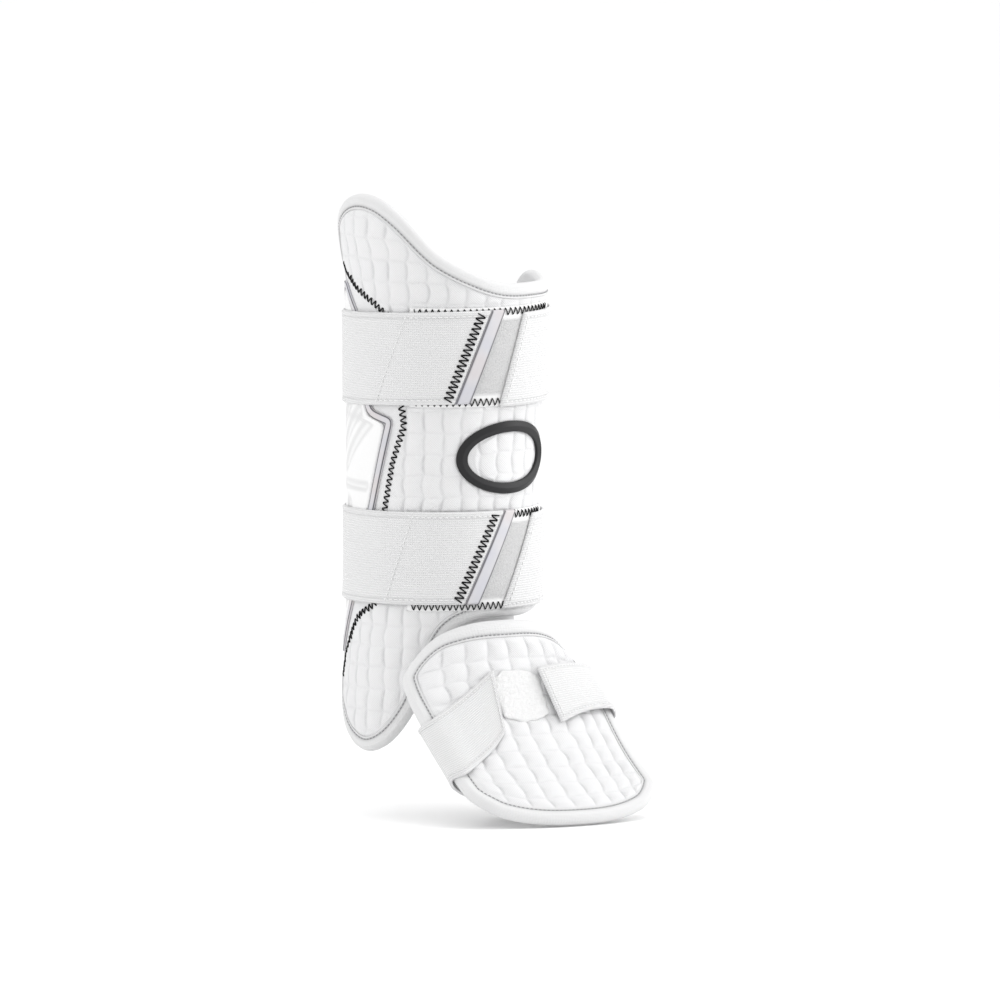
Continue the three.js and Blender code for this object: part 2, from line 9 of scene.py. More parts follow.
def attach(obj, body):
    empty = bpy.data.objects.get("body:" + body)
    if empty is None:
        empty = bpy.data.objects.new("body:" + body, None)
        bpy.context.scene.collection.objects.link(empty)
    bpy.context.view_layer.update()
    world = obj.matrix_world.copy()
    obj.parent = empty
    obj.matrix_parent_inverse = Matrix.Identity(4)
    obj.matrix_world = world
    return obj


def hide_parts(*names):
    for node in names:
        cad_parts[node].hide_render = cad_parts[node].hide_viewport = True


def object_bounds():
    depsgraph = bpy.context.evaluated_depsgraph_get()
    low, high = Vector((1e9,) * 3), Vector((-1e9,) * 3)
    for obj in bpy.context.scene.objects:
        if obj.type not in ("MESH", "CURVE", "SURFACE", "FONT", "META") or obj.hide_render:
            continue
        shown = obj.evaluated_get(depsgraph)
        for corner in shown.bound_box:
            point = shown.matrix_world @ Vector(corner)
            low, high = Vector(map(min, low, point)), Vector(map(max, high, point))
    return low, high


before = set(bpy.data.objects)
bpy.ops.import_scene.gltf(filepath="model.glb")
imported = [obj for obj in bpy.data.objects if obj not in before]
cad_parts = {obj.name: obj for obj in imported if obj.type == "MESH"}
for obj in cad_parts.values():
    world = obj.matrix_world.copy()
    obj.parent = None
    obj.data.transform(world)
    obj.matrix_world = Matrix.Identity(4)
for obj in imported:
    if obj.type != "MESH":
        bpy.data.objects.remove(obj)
cad_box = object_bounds()

# Camera: a little above the shin and turned 42 degrees towards the wearer's outer side,
# far off on a long lens, so that the sides of the leg run parallel.
view_turn = math.radians(-42)
view_rise = math.radians(6)
view_width = 0.686
view_distance = 30.0
sensor_width = 36.0
view_centre_right = 0.0406
view_centre_up = 0.1386

view_right = Vector((math.cos(view_turn), math.sin(view_turn), 0))
view_back = Vector((
    math.sin(view_turn) * math.cos(view_rise),
    -math.cos(view_turn) * math.cos(view_rise),
    math.sin(view_rise),
))
view_up = view_back.cross(view_right)
view_centre = view_centre_right * view_right + view_centre_up * view_up
camera_data = bpy.data.cameras.new("camera")
camera_data.sensor_width = sensor_width
camera_data.lens = sensor_width * view_distance / view_width
camera_data.clip_end = 100
camera = bpy.data.objects.new("camera", camera_data)
camera.matrix_world = Matrix.Translation(view_centre + view_distance * view_back) @ Matrix(
    (view_right, view_up, view_back)
).transposed().to_4x4()
bpy.context.collection.objects.link(camera)
bpy.context.scene.camera = camera

# Leg panel: one piece of soft foam between a fine white knit and a plain lining, hot-pressed
# into columns of rounded cells and bent round the shin and the calf. Millimetres from here on;
# a turn is an angle round the leg in degrees, 0 at the shin and 90 at the outer side.
guard_height = 384.0
lobe_depth = 29.0
calf_radius = 67.6
pad_wall = 8.0
leg_lean = 0.023
girth_per_turn = math.radians(calf_radius - pad_wall / 2)
leg_profile = np.array([
    (0.0, 1.015), (0.08, 1.005), (0.2, 0.965), (0.3, 0.952), (0.42, 0.959), (0.55, 0.972),
    (0.78, 0.998), (0.84, 1.02), (0.9, 1.085), (0.95, 1.125), (1.0, 1.13),
])
leg_outline = np.array([
    (-80, 0.842), (-52, 0.838), (-20, 0.839), (8, 0.844), (27, 0.864), (46, 0.897),
    (67, 0.963), (82, 0.993), (97, 1.0), (113, 0.985), (127, 0.95), (137, 0.89),
    (143, 0.81), (149, 0.72), (150, 0.45), (148, 0.24), (138, 0.12), (124, 0.058),
    (106, 0.014), (90, 0.0), (75, 0.017), (60, 0.068), (48, 0.15), (36, 0.218),
    (20, 0.24), (-20, 0.242), (-60, 0.255), (-80, 0.262), (-90, 0.3), (-92, 0.55), (-90, 0.805),
])
cell_width = 12.9
cell_length = 14.8
leg_seam_at = 8.8
seam_scallop = 1.7
seam_drift = 2.0
cell_crown = 1.25
seam_depth = 0.6
binding_radius = 4.2
rim_dive = 3.0
end_inset = 0.6

# The loop patches, the badge and the shield's base press the quilting flat where they lie on it
pressed_lift = 0.1
press_slope = 0.9
base_lift = 0.3
strap_width = 64.0
strap_heights = {"upper": 241.5, "lower": 105.4}
patch_turns = (-42.0, 64.0)
patch_raise = {"upper": 3.0, "lower": -1.6}
patch_margin = 2.3
badge_height_on_shin = 174.45
badge_size = (78.0, 50.1)
badge_band = 7.5
base_edge = np.array([
    (-40, 150), (-20, 148), (10, 130), (26, 125), (44.9, 116), (62.8, 104), (73, 87),
    (141, 80), (171, 74.6), (197.6, 67), (208, 68.8), (273.6, 79), (282, 92), (288, 103),
    (293.6, 112), (307, 132), (325, 152), (360, 160),
])


def read_table(table, at):
    """A smooth curve through a table's rows that never overshoots them."""
    xs, ys = table[:, 0], table[:, 1]
    at = np.asarray(at, float)
    slope = np.diff(ys) / np.diff(xs)
    before, after = slope[:-1], slope[1:]
    total = np.where(before + after == 0, 1, before + after)
    inner = np.where(before * after > 0, 2 * before * after / total, 0)
    tangent = np.concatenate([slope[:1], inner, slope[-1:]])
    k = np.clip(np.searchsorted(xs, at, side="right") - 1, 0, len(xs) - 2)
    width = xs[k + 1] - xs[k]
    u = np.clip((at - xs[k]) / width, 0, 1)
    return (
        (2 * u**3 - 3 * u**2 + 1) * ys[k] + (u**3 - 2 * u**2 + u) * width * tangent[k]
        + (3 * u**2 - 2 * u**3) * ys[k + 1] + (u**3 - u**2) * width * tangent[k + 1]
    )


def leg_point(turn, height, lift):
    turn, height, lift = np.broadcast_arrays(turn, height, lift)
    reach = calf_radius * read_table(leg_profile, (height + lobe_depth) / guard_height) + lift
    angle = np.radians(turn)
    return np.stack([
        -reach * np.sin(angle),
        -leg_lean * height - reach * np.cos(angle),
        height.astype(float),
    ], axis=-1)


def leg_surface(across, height, lift):
    return leg_point(np.asarray(across) / girth_per_turn, height, lift)


def smooth_path(points, closed, count):
    """Places on a centripetal Catmull-Rom curve, as many as count, even in its parameter."""
    points = np.asarray(points, float)
    n = len(points)
    if closed:
        at = np.arange(count) * n / count
        ring = np.concatenate([points[-1:], points, points[:2]])
    else:
        at = np.linspace(0, n - 1, count)
        ring = np.concatenate([2 * points[:1] - points[1:2], points, 2 * points[-1:] - points[-2:-1]])
    k = np.minimum(at.astype(int), len(ring) - 4)
    u = (at - k)[:, None]
    p0, p1, p2, p3 = (ring[k + j] for j in range(4))
    d0, d1, d2 = (
        np.sqrt(np.linalg.norm(b - a, axis=1, keepdims=True)) for a, b in ((p0, p1), (p1, p2), (p2, p3))
    )
    start = ((p1 - p0) / d0 - (p2 - p0) / (d0 + d1) + (p2 - p1) / d1) * d1
    end = ((p2 - p1) / d1 - (p3 - p1) / (d1 + d2) + (p3 - p2) / d2) * d1
    return (
        p1 + start * u + (3 * (p2 - p1) - 2 * start - end) * u**2
        + (2 * (p1 - p2) + start + end) * u**3
    )


def even_steps(line, step, closed=False):
    """Places an even step apart along a line of points."""
    line = np.asarray(line, float)
    if closed:
        line = np.concatenate([line, line[:1]])
    gone = np.concatenate([[0], np.cumsum(np.linalg.norm(np.diff(line, axis=0), axis=1))])
    count = max(2, round(gone[-1] / step) + 1)
    at = np.linspace(0, gone[-1], count)
    places = np.stack([np.interp(at, gone, column) for column in line.T], axis=1)
    return places[:-1] if closed else places


def unit(vectors):
    return vectors / np.maximum(np.linalg.norm(vectors, axis=-1, keepdims=True), 1e-9)


def loop_outwards(loop):
    before, after = np.roll(loop, 1, axis=0), np.roll(loop, -1, axis=0)
    area = np.sum(loop[:, 0] * after[:, 1] - after[:, 0] * loop[:, 1])
    edge_in, edge_out = unit(loop - before), unit(after - loop)
    miter = edge_in + edge_out
    outwards = np.stack([miter[:, 1], -miter[:, 0]], axis=1) * np.sign(area)
    return outwards / (1 + np.sum(edge_in * edge_out, axis=1, keepdims=True))


def inset_on_pad(loop, distance, surface):
    """The loop moved inwards, measured on the bent surface in the middle of the pad's wall."""
    outwards = loop_outwards(loop)
    here = surface(loop[:, 0], loop[:, 1], -pad_wall / 2)
    aside = surface(loop[:, 0] - outwards[:, 0], loop[:, 1] - outwards[:, 1], -pad_wall / 2) - here
    ahead = surface(loop[:, 0] - outwards[:, 1], loop[:, 1] + outwards[:, 0], -pad_wall / 2) - here
    stretch = np.linalg.norm(np.cross(aside, unit(ahead)), axis=1, keepdims=True)
    return loop - outwards * distance * np.linalg.norm(outwards, axis=1, keepdims=True) / stretch


def spans(loop, at, line, value):
    """Lowest and highest place where each line across the loop meets it."""
    follow = np.roll(loop, -1, axis=0)
    a, b = loop[:, line], follow[:, line]
    meets = (a - at[:, None]) * (b - at[:, None]) <= 0
    meets &= a != b
    share = (at[:, None] - a) / np.where(a == b, 1, b - a)
    found = loop[:, value] + share * (follow[:, value] - loop[:, value])
    return np.where(meets, found, np.inf).min(1), np.where(meets, found, -np.inf).max(1)


def distance_to(loop, across, along):
    """How far each place lies from a closed outline, less than nothing outside it."""
    places = np.stack([across.ravel(), along.ravel()], axis=1)
    follow = np.roll(loop, -1, axis=0)
    edge = follow - loop
    found = []
    for part in np.array_split(places, max(1, len(places) // 4000)):
        to_place = part[:, None] - loop
        share = np.clip(np.sum(to_place * edge, axis=2) / np.sum(edge**2, axis=1), 0, 1)
        away = np.linalg.norm(to_place - share[..., None] * edge, axis=2).min(1)
        crosses = (loop[:, 1] > part[:, 1:]) != (follow[:, 1] > part[:, 1:])
        height = np.where(edge[:, 1] == 0, 1, edge[:, 1])
        left = part[:, :1] < edge[:, 0] * (part[:, 1:] - loop[:, 1]) / height + loop[:, 0]
        inside = np.sum(crosses & left, axis=1) % 2 == 1
        found.append(np.where(inside, away, -away))
    return np.concatenate(found).reshape(across.shape)


def ease(low, high, value):
    u = np.clip((value - low) / (high - low), 0, 1)
    return u * u * (3 - 2 * u)


def wander(places):
    """Soft irregular values at places in space, from about -1 to 1."""
    found = [noise.noise(Vector(place)) for place in places.reshape(-1, 3).tolist()]
    return np.array(found).reshape(places.shape[:-1])


def mottle(across, along, across_scale, along_scale, layer):
    """The same over a cloth's places, on a layer of its own."""
    layers = np.full(across.shape, float(layer))
    return wander(np.stack([across * across_scale, along * along_scale, layers], axis=-1))


def cell_relief(across, along, seam_at, width, bow, dome):
    """Quilting at each place: its lift as a share of the crown, and how near a seam it is."""
    drift = seam_drift * mottle(across, along, 0.05, 0.06, 1.7)
    row_place = (along + seam_drift * mottle(across, along, 0.06, 0.03, 8.1)) / cell_length
    row = np.floor(row_place)
    v = 2 * (row_place - row) - 1
    scallop = seam_scallop * bow * (1 - v * v) * (0.8 + 0.2 * np.sin(5.1 * row + 0.11 * across))
    place = (across - seam_at + scallop + drift) / width
    column = np.floor(place)
    u = 2 * (place - column) - 1
    fullness = 0.85 + 0.15 * np.sin(12.9 * column + 78.2 * row)
    crown = (1 - np.abs(u)**3.2)**0.7 * (1 - 0.3 * np.abs(v)**8)
    puff = (1 - u * u) * (1 - 0.75 * v * v)
    beside = (1 - np.abs(u)) * width / 2
    above = (1 - np.abs(v)) * cell_length / 2
    pull = np.exp(-(np.minimum(beside, above) / 3.5)**2)
    crinkle = 0.16 * pull * mottle(across, along, 0.14, 0.5, 4.4)
    crease = np.exp(-(beside / 0.8)**2) * (0.2 + 0.8 * (1 - v**4))
    crease = crease * (0.7 + 0.3 * np.sin(7.7 * np.round(place) + 3.1 * row))
    seam = np.maximum(crease, 0.14 * np.exp(-(above / 0.8)**2))
    return fullness * (crown * (1 - dome) + puff * dome) + crinkle, seam


def grid_faces(columns, rows, start=0):
    i, j = np.meshgrid(np.arange(columns - 1), np.arange(rows - 1), indexing="ij")
    a = (start + i * rows + j).ravel()
    return np.stack([a, a + rows, a + rows + 1, a + 1], axis=1).tolist()


def closed_sheet(outer, inner):
    """A sheet with a thickness, from two grids of points; the inner one may be coarser."""
    columns, rows = outer.shape[:2]
    step = (columns - 1) // (inner.shape[0] - 1)
    start = columns * rows
    faces = grid_faces(columns, rows) + grid_faces(inner.shape[0], inner.shape[1], start)
    under_rows = inner.shape[1]
    for j, k in ((0, 0), (rows - 1, under_rows - 1)):
        for i in range(inner.shape[0] - 1):
            top = [(i * step + s) * rows + j for s in range(step, -1, -1)]
            faces.append([start + i * under_rows + k, start + (i + 1) * under_rows + k] + top)
    for i, k in ((0, 0), (columns - 1, inner.shape[0] - 1)):
        for j in range(under_rows - 1):
            top = [i * rows + j * step + s for s in range(step, -1, -1)]
            faces.append([start + k * under_rows + j, start + k * under_rows + j + 1] + top)
    return np.concatenate([outer.reshape(-1, 3), inner.reshape(-1, 3)]), faces


def new_piece(name, points, faces, places=None, seam=None, around=None):
    """A smooth mesh from points in millimetres, with its cloth places and seams as attributes.

    around gives a ring's length and girth, where its cloth places start again.
    """
    mesh = bpy.data.meshes.new(name)
    mesh.from_pydata((np.asarray(points) * 0.001).tolist(), [], faces)
    sorting = bmesh.new()
    sorting.from_mesh(mesh)
    bmesh.ops.recalc_face_normals(sorting, faces=sorting.faces)
    sorting.to_mesh(mesh)
    sorting.free()
    mesh.polygons.foreach_set("use_smooth", [True] * len(mesh.polygons))
    if places is not None:
        corners = np.empty(len(mesh.loops), int)
        mesh.loops.foreach_get("vertex_index", corners)
        layer = mesh.uv_layers.new(name="Cloth")
        on_cloth = np.asarray(places, float)[corners]
        if around is not None:
            quads = on_cloth.reshape(-1, 4, 2)
            wide = np.ptp(quads, axis=1, keepdims=True) > np.asarray(around) / 2
            on_cloth = quads + wide * (quads < np.asarray(around) / 2) * around
        layer.uv.foreach_set("vector", on_cloth.astype(np.float32).ravel())
    if seam is not None:
        attribute = mesh.attributes.new("seam", "FLOAT", "POINT")
        attribute.data.foreach_set("value", np.asarray(seam, np.float32).ravel())
    piece = bpy.data.objects.new(name, mesh)
    bpy.context.collection.objects.link(piece)
    return piece


def dress(piece, material, slot, *nodes):
    """The piece gets its material and stands for its solids."""
    piece.data.materials.append(material)
    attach(piece, "root")
    if nodes:
        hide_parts(*nodes)


def pad_body(outline, surface, count, lining_step, relief):
    """A pad inside its binding: quilted outside, plain inside. relief gives lift and seam."""
    loop = inset_on_pad(outline, 2 * binding_radius, surface)
    across = np.linspace(loop[:, 0].min() + end_inset, loop[:, 0].max() - end_inset, count)
    low, high = spans(loop, across, 0, 1)
    along = low[:, None] + (high - low)[:, None] * np.linspace(0, 1, count)
    across = np.repeat(across[:, None], count, axis=1)
    across[0] = spans(loop, along[0], 1, 0)[0]
    across[-1] = spans(loop, along[-1], 1, 0)[1]
    lift, seam = relief(across, along)
    from_rim = distance_to(loop, across, along)
    edge = ease(0.4, 6, from_rim)
    lift = lift * edge - rim_dive * (1 - ease(0, 2, from_rim))
    outer = surface(across, along, lift)
    coarse = np.s_[::lining_step, ::lining_step]
    inner = surface(across[coarse], along[coarse], -pad_wall)
    points, faces = closed_sheet(outer, inner)
    outside = np.stack([across.ravel(), along.ravel()], axis=1)
    inside = np.stack([across[coarse].ravel(), along[coarse].ravel()], axis=1)
    seams = np.concatenate([(seam * edge).ravel(), np.zeros(len(inside))])
    return points, faces, np.concatenate([outside, inside]), seams


def box_distance(across, along, low, high):
    """Distance outside a rectangle, nought inside it."""
    aside = np.maximum(np.maximum(low[0] - across, across - high[0]), 0)
    above = np.maximum(np.maximum(low[1] - along, along - high[1]), 0)
    return np.hypot(aside, above)


def leg_relief(across, height):
    bow = ease(170, 250, height) * 2 - 1
    crown, seam = cell_relief(across, height, leg_seam_at, cell_width, bow, 0.3)
    lift = crown * (cell_crown + seam_depth) - seam_depth
    for level, strap_height in strap_heights.items():
        middle = strap_height + patch_raise[level]
        reach = strap_width / 2 + patch_margin
        away = box_distance(
            across, height,
            (patch_turns[0] * girth_per_turn, middle - reach),
            (patch_turns[1] * girth_per_turn, middle + reach),
        )
        lift = np.minimum(lift, pressed_lift + press_slope * away)
    from_middle = np.hypot(across / badge_size[0], (height - badge_height_on_shin) / badge_size[1]) * 2
    from_ring = np.maximum(from_middle - 1, 1 - 2 * badge_band / badge_size[1] - from_middle)
    beside_badge = np.maximum(from_ring, 0) * badge_size[1] / 2
    lift = np.minimum(lift, pressed_lift + press_slope * beside_badge)
    edge_turn = np.interp(height, base_edge[:, 0], base_edge[:, 1])
    beyond = across - edge_turn * girth_per_turn
    base = ease(-2.5, 0.5, beyond)
    near = 1 - ease(0, 6, -beyond)
    lift = np.minimum(lift, 2.6 - 2.2 * near)
    lift = lift * (1 - base) + base_lift * base
    return lift, seam * (1 - base) * ease(-0.6, 0.8, lift + seam_depth)


# The knit's surface: fine loops in rows, which raise it, with painted shade in the hollows between them
def new_group(name, inputs, outputs):
    group = bpy.data.node_groups.new(name, "ShaderNodeTree")
    for label, kind, value in inputs:
        socket = group.interface.new_socket(label, in_out="INPUT", socket_type=kind)
        if value is not None:
            socket.default_value = value
    for label, kind in outputs:
        group.interface.new_socket(label, in_out="OUTPUT", socket_type=kind)
    return group, group.nodes.new("NodeGroupInput"), group.nodes.new("NodeGroupOutput")


def math_node(tree, operation, first, second=None, third=None):
    """A Math node whose inputs are sockets or numbers; gives its value socket."""
    node = tree.nodes.new("ShaderNodeMath")
    node.operation = operation
    for k, value in enumerate((first, second, third)):
        if value is None:
            continue
        if isinstance(value, bpy.types.NodeSocket):
            tree.links.new(value, node.inputs[k])
        else:
            node.inputs[k].default_value = value
    return node.outputs[0]


def noise_texture(tree, place, scale, detail=2.0):
    node = tree.nodes.new("ShaderNodeTexNoise")
    node.inputs["Scale"].default_value = scale
    node.inputs["Detail"].default_value = detail
    tree.links.new(place, node.inputs["Vector"])
    return node


knit, knit_in, knit_out = new_group(
    "knit_loops",
    [
        ("Place", "NodeSocketVector", None),
        ("Wales per mm", "NodeSocketFloat", 0.8),
        ("Courses per mm", "NodeSocketFloat", 0.8),
        ("Fuzz", "NodeSocketFloat", 0.3),
    ],
    [("Height", "NodeSocketFloat"), ("Shade", "NodeSocketFloat")],
)
split = knit.nodes.new("ShaderNodeSeparateXYZ")
knit.links.new(knit_in.outputs["Place"], split.inputs[0])
wale = math_node(knit, "MULTIPLY", split.outputs[0], knit_in.outputs["Wales per mm"])
course = math_node(knit, "MULTIPLY", split.outputs[1], knit_in.outputs["Courses per mm"])
bow = math_node(knit, "MULTIPLY", math_node(knit, "PINGPONG", wale, 0.5), 0.6)
across_wave = math_node(knit, "SINE", math_node(knit, "MULTIPLY", wale, 2 * math.pi))
along_wave = math_node(knit, "SINE", math_node(
    knit, "MULTIPLY", math_node(knit, "ADD", course, bow), 2 * math.pi))
loops = math_node(knit, "MULTIPLY", across_wave, along_wave)
fuzz = noise_texture(knit, knit_in.outputs["Place"], 1.7, 3)
stray = math_node(knit, "MULTIPLY", math_node(
    knit, "SUBTRACT", fuzz.outputs[0], 0.5), knit_in.outputs["Fuzz"])
height = math_node(knit, "ADD", math_node(knit, "MULTIPLY", loops, 0.5), stray)
knit.links.new(height, knit_out.inputs["Height"])
knit.links.new(math_node(knit, "ADD", height, 0.5), knit_out.inputs["Shade"])


def plain_material(name, roughness):
    material = bpy.data.materials.new(name)
    material.use_nodes = True
    shader = material.node_tree.nodes["Principled BSDF"]
    shader.inputs["Roughness"].default_value = roughness
    return material, material.node_tree, shader


def colour_mix(tree, dark, light):
    mix = tree.nodes.new("ShaderNodeMix")
    mix.data_type = "RGBA"
    mix.inputs["A"].default_value = (*dark, 1)
    mix.inputs["B"].default_value = (*light, 1)
    return mix


def seam_mask(tree):
    """How near a seam, border or hollow each point lies; quilt, tape, elastic and plastic paint shade there.
    """
    seam = tree.nodes.new("ShaderNodeAttribute")
    seam.attribute_name = "seam"
    return seam.outputs["Fac"]


def cloth_material(name, light, dark, roughness, sheen=0.15):
    """A fabric's own nodes; gives the material, tree, shader, cloth places and colour mix."""
    material, tree, shader = plain_material(name, roughness)
    shader.inputs["Specular IOR Level"].default_value = 0.25
    shader.inputs["Sheen Weight"].default_value = sheen
    shader.inputs["Sheen Roughness"].default_value = 0.5
    place = tree.nodes.new("ShaderNodeUVMap")
    place.uv_map = "Cloth"
    mix = colour_mix(tree, dark, light)
    tree.links.new(mix.outputs["Result"], shader.inputs["Base Color"])
    return material, tree, shader, place.outputs[0], mix


def add_bump(tree, shader, height, distance):
    bump = tree.nodes.new("ShaderNodeBump")
    bump.inputs["Distance"].default_value = distance
    tree.links.new(height, bump.inputs["Height"])
    tree.links.new(bump.outputs[0], shader.inputs["Normal"])


def place_group(tree, group, place, **values):
    node = tree.nodes.new("ShaderNodeGroup")
    node.node_tree = group
    tree.links.new(place, node.inputs["Place"])
    for label, value in values.items():
        node.inputs[label.replace("_", " ")].default_value = value
    return node


def quilt_material(name, light, dark):
    material, tree, shader, place, mix = cloth_material(name, light, dark, 0.85)
    loops_node = place_group(tree, knit, place, Wales_per_mm=0.62, Courses_per_mm=0.62, Fuzz=0.5)
    # Painted shade: the seam mask darkens the seams and creases between the cells, and sinks them in the
    # bump
    pressed = math_node(tree, "MULTIPLY", seam_mask(tree), 0.75)
    shade = math_node(tree, "MULTIPLY_ADD", loops_node.outputs["Shade"], 0.35, 0.65)
    tree.links.new(math_node(tree, "SUBTRACT", shade, pressed), mix.inputs["Factor"])
    height = math_node(tree, "SUBTRACT", loops_node.outputs["Height"], pressed)
    add_bump(tree, shader, height, 0.00028)
    return material


quilt_white = quilt_material("quilted_knit", (0.8, 0.8, 0.805), (0.5, 0.5, 0.51))
leg_loop = leg_outline * (girth_per_turn, guard_height) - (0, lobe_depth)
leg_loop = even_steps(smooth_path(leg_loop, True, 1200), 3, closed=True)
leg_panel = new_piece("leg_panel_quilt", *pad_body(leg_loop, leg_surface, 301, 5, leg_relief))
dress(leg_panel, quilt_white, "quilt", "leg_panel")

# Leg binding: white ribbed tape folded over the pad's raw edge and sewn through both faces near
# the tape's inner edge, which stands up a little beside the row of stitches.
tape_profile = np.array([
    (0.2, 4.45), (1.8, 4.15), (3.2, 3.1), (4.1, 1.6), (4.4, 0.0), (4.1, -1.6), (3.2, -3.1),
    (1.8, -4.1), (0.2, -4.4), (-2.0, -4.5), (-4.2, -4.4), (-5.4, -4.2), (-5.5, 0.0), (-5.9, 3.2),
    (-6.1, 4.0), (-5.7, 4.5), (-5.1, 4.45), (-4.5, 3.95), (-3.9, 3.85), (-3.3, 4.2), (-1.6, 4.5),
])
tape_shadow = np.array([0, 0, 0, 0, 0, 0, 0, 0, 0, 0, 0, 0, 0.4, 0.9, 0.7, 0, 0, 0.8, 1.0, 0.5, 0])
tape_stitch_at = -4.15
tape_stitch_rise = 4.05
stitch_pitch = 3.1
stitch_length = 2.2
thread_width = 0.55


def pad_edge(loop, surface):
    """Centres round a pad's edge in the middle of its wall, with outwards and upwards there."""
    middle = inset_on_pad(loop, binding_radius, surface)
    centre = surface(middle[:, 0], middle[:, 1], -pad_wall / 2)
    off_wall = surface(middle[:, 0], middle[:, 1], 1 - pad_wall / 2) - centre
    ahead = unit(np.roll(centre, -1, axis=0) - np.roll(centre, 1, axis=0))
    out = unit(np.cross(ahead, off_wall))
    outer = surface(loop[:, 0], loop[:, 1], -pad_wall / 2)
    out *= np.sign(np.sum(out * (outer - centre), axis=1, keepdims=True))
    up = np.cross(out, ahead)
    return centre, out, up * np.sign(np.sum(up * off_wall, axis=1, keepdims=True))


def ring_faces(sections, sides):
    """Faces of a ring whose sections are closed as well."""
    i, j = np.meshgrid(np.arange(sections), np.arange(sides), indexing="ij")
    next_i, next_j = (i + 1) % sections, (j + 1) % sides
    return np.stack([
        i * sides + j, next_i * sides + j, next_i * sides + next_j, i * sides + next_j,
    ], axis=-1).reshape(-1, 4).tolist()


def tape_ring(loop, surface, fuller=0.0):
    """The folded tape's points, faces, cloth places and shadow; fuller swells its outer roll."""
    centre, out, up = pad_edge(loop, surface)
    sections, sides = len(centre), len(tape_profile)
    i, j = np.meshgrid(np.arange(sections), np.arange(sides), indexing="ij")
    profile = tape_profile[None] * (1 + 0.02 * mottle(i, j, 0.5, 1.3, 4)[..., None])
    swell = np.broadcast_to(fuller, (sections,))[:, None]
    profile[..., 0] *= np.where(profile[..., 0] > 0, 1 + swell, 1)
    points = centre[:, None] + out[:, None] * profile[..., :1] + up[:, None] * profile[..., 1:]
    length = np.cumsum(np.linalg.norm(np.roll(centre, -1, axis=0) - centre, axis=1))
    girth = np.cumsum(np.linalg.norm(np.roll(tape_profile, -1, axis=0) - tape_profile, axis=1))
    places = np.stack(np.meshgrid(length, girth, indexing="ij"), axis=-1).reshape(-1, 2)
    shadow = np.tile(tape_shadow, sections)
    return points.reshape(-1, 3), ring_faces(sections, sides), places, shadow, (length[-1], girth[-1])


def sew(name, starts, ends, up, width, material, slot):
    """Stitches from hole to hole: short threads that arch a little, their ends sunk in."""
    ahead = unit(ends - starts)
    aside = unit(np.cross(up, ahead))
    up = np.cross(ahead, aside)
    shares = np.array([0, 0.14, 0.5, 0.86, 1])
    rises = np.array([-0.9, 0.1, 0.4, 0.1, -0.9]) * width
    girths = np.array([0.3, 0.95, 1, 0.95, 0.3]) * width / 2
    sides, rings = 6, len(shares)
    angle = np.arange(sides) * 2 * math.pi / sides
    centre = starts[:, None] + (ends - starts)[:, None] * shares[:, None] + up[:, None] * rises[:, None]
    ring = aside[:, None, None] * np.cos(angle)[:, None] + up[:, None, None] * np.sin(angle)[:, None]
    points = centre[:, :, None] + ring * girths[:, None, None]
    faces = []
    for s in range(len(starts)):
        first = s * sides * rings
        for start in range(first, first + sides * (rings - 1), sides):
            for k in range(sides):
                a, b = start + k, start + (k + 1) % sides
                faces.append((a, b, b + sides, a + sides))
        faces.append([first + k for k in range(sides - 1, -1, -1)])
        faces.append([first + sides * (rings - 1) + k for k in range(sides)])
    dress(new_piece(name, points.reshape(-1, 3), faces), material, slot)


def tape_stitches(name, loop, surface, material):
    centre, out, up = pad_edge(loop, surface)
    line = centre + out * tape_stitch_at + up * tape_stitch_rise
    places = even_steps(line, stitch_pitch, closed=True)
    ahead = unit(np.roll(places, -1, axis=0) - np.roll(places, 1, axis=0))
    nearest = np.argmin(np.linalg.norm(places[:, None] - line, axis=2), axis=1)
    half = ahead * stitch_length / 2
    sew(name, places - half, places + half, up[nearest], thread_width, material, "binding")


# Woven ribs give a height for the bump and a Shade that paints shade between ribs and threads
ribs, ribs_in, ribs_out = new_group(
    "woven_ribs",
    [
        ("Place", "NodeSocketVector", None),
        ("Ribs per mm", "NodeSocketFloat", 0.65),
        ("Threads per mm", "NodeSocketFloat", 0.8),
        ("Thread share", "NodeSocketFloat", 0.4),
        ("Fuzz", "NodeSocketFloat", 0.3),
    ],
    [("Height", "NodeSocketFloat"), ("Shade", "NodeSocketFloat")],
)
split = ribs.nodes.new("ShaderNodeSeparateXYZ")
ribs.links.new(ribs_in.outputs["Place"], split.inputs[0])
rib = math_node(ribs, "SINE", math_node(ribs, "MULTIPLY", math_node(
    ribs, "MULTIPLY", split.outputs[1], ribs_in.outputs["Ribs per mm"]), 2 * math.pi))
yarn = math_node(ribs, "SINE", math_node(ribs, "MULTIPLY", math_node(
    ribs, "MULTIPLY", split.outputs[0], ribs_in.outputs["Threads per mm"]), 2 * math.pi))
crossing = math_node(ribs, "MULTIPLY", math_node(
    ribs, "MULTIPLY", yarn, ribs_in.outputs["Thread share"]), math_node(ribs, "ADD", rib, 0.4))
lint = noise_texture(ribs, ribs_in.outputs["Place"], 1.1, 4)
stray = math_node(ribs, "MULTIPLY", math_node(
    ribs, "SUBTRACT", lint.outputs[0], 0.5), ribs_in.outputs["Fuzz"])
weave = math_node(ribs, "ADD", math_node(ribs, "MULTIPLY", rib, 0.5), math_node(
    ribs, "ADD", crossing, stray))
ribs.links.new(weave, ribs_out.inputs["Height"])
ribs.links.new(math_node(ribs, "MULTIPLY_ADD", weave, 0.5, 0.5), ribs_out.inputs["Shade"])


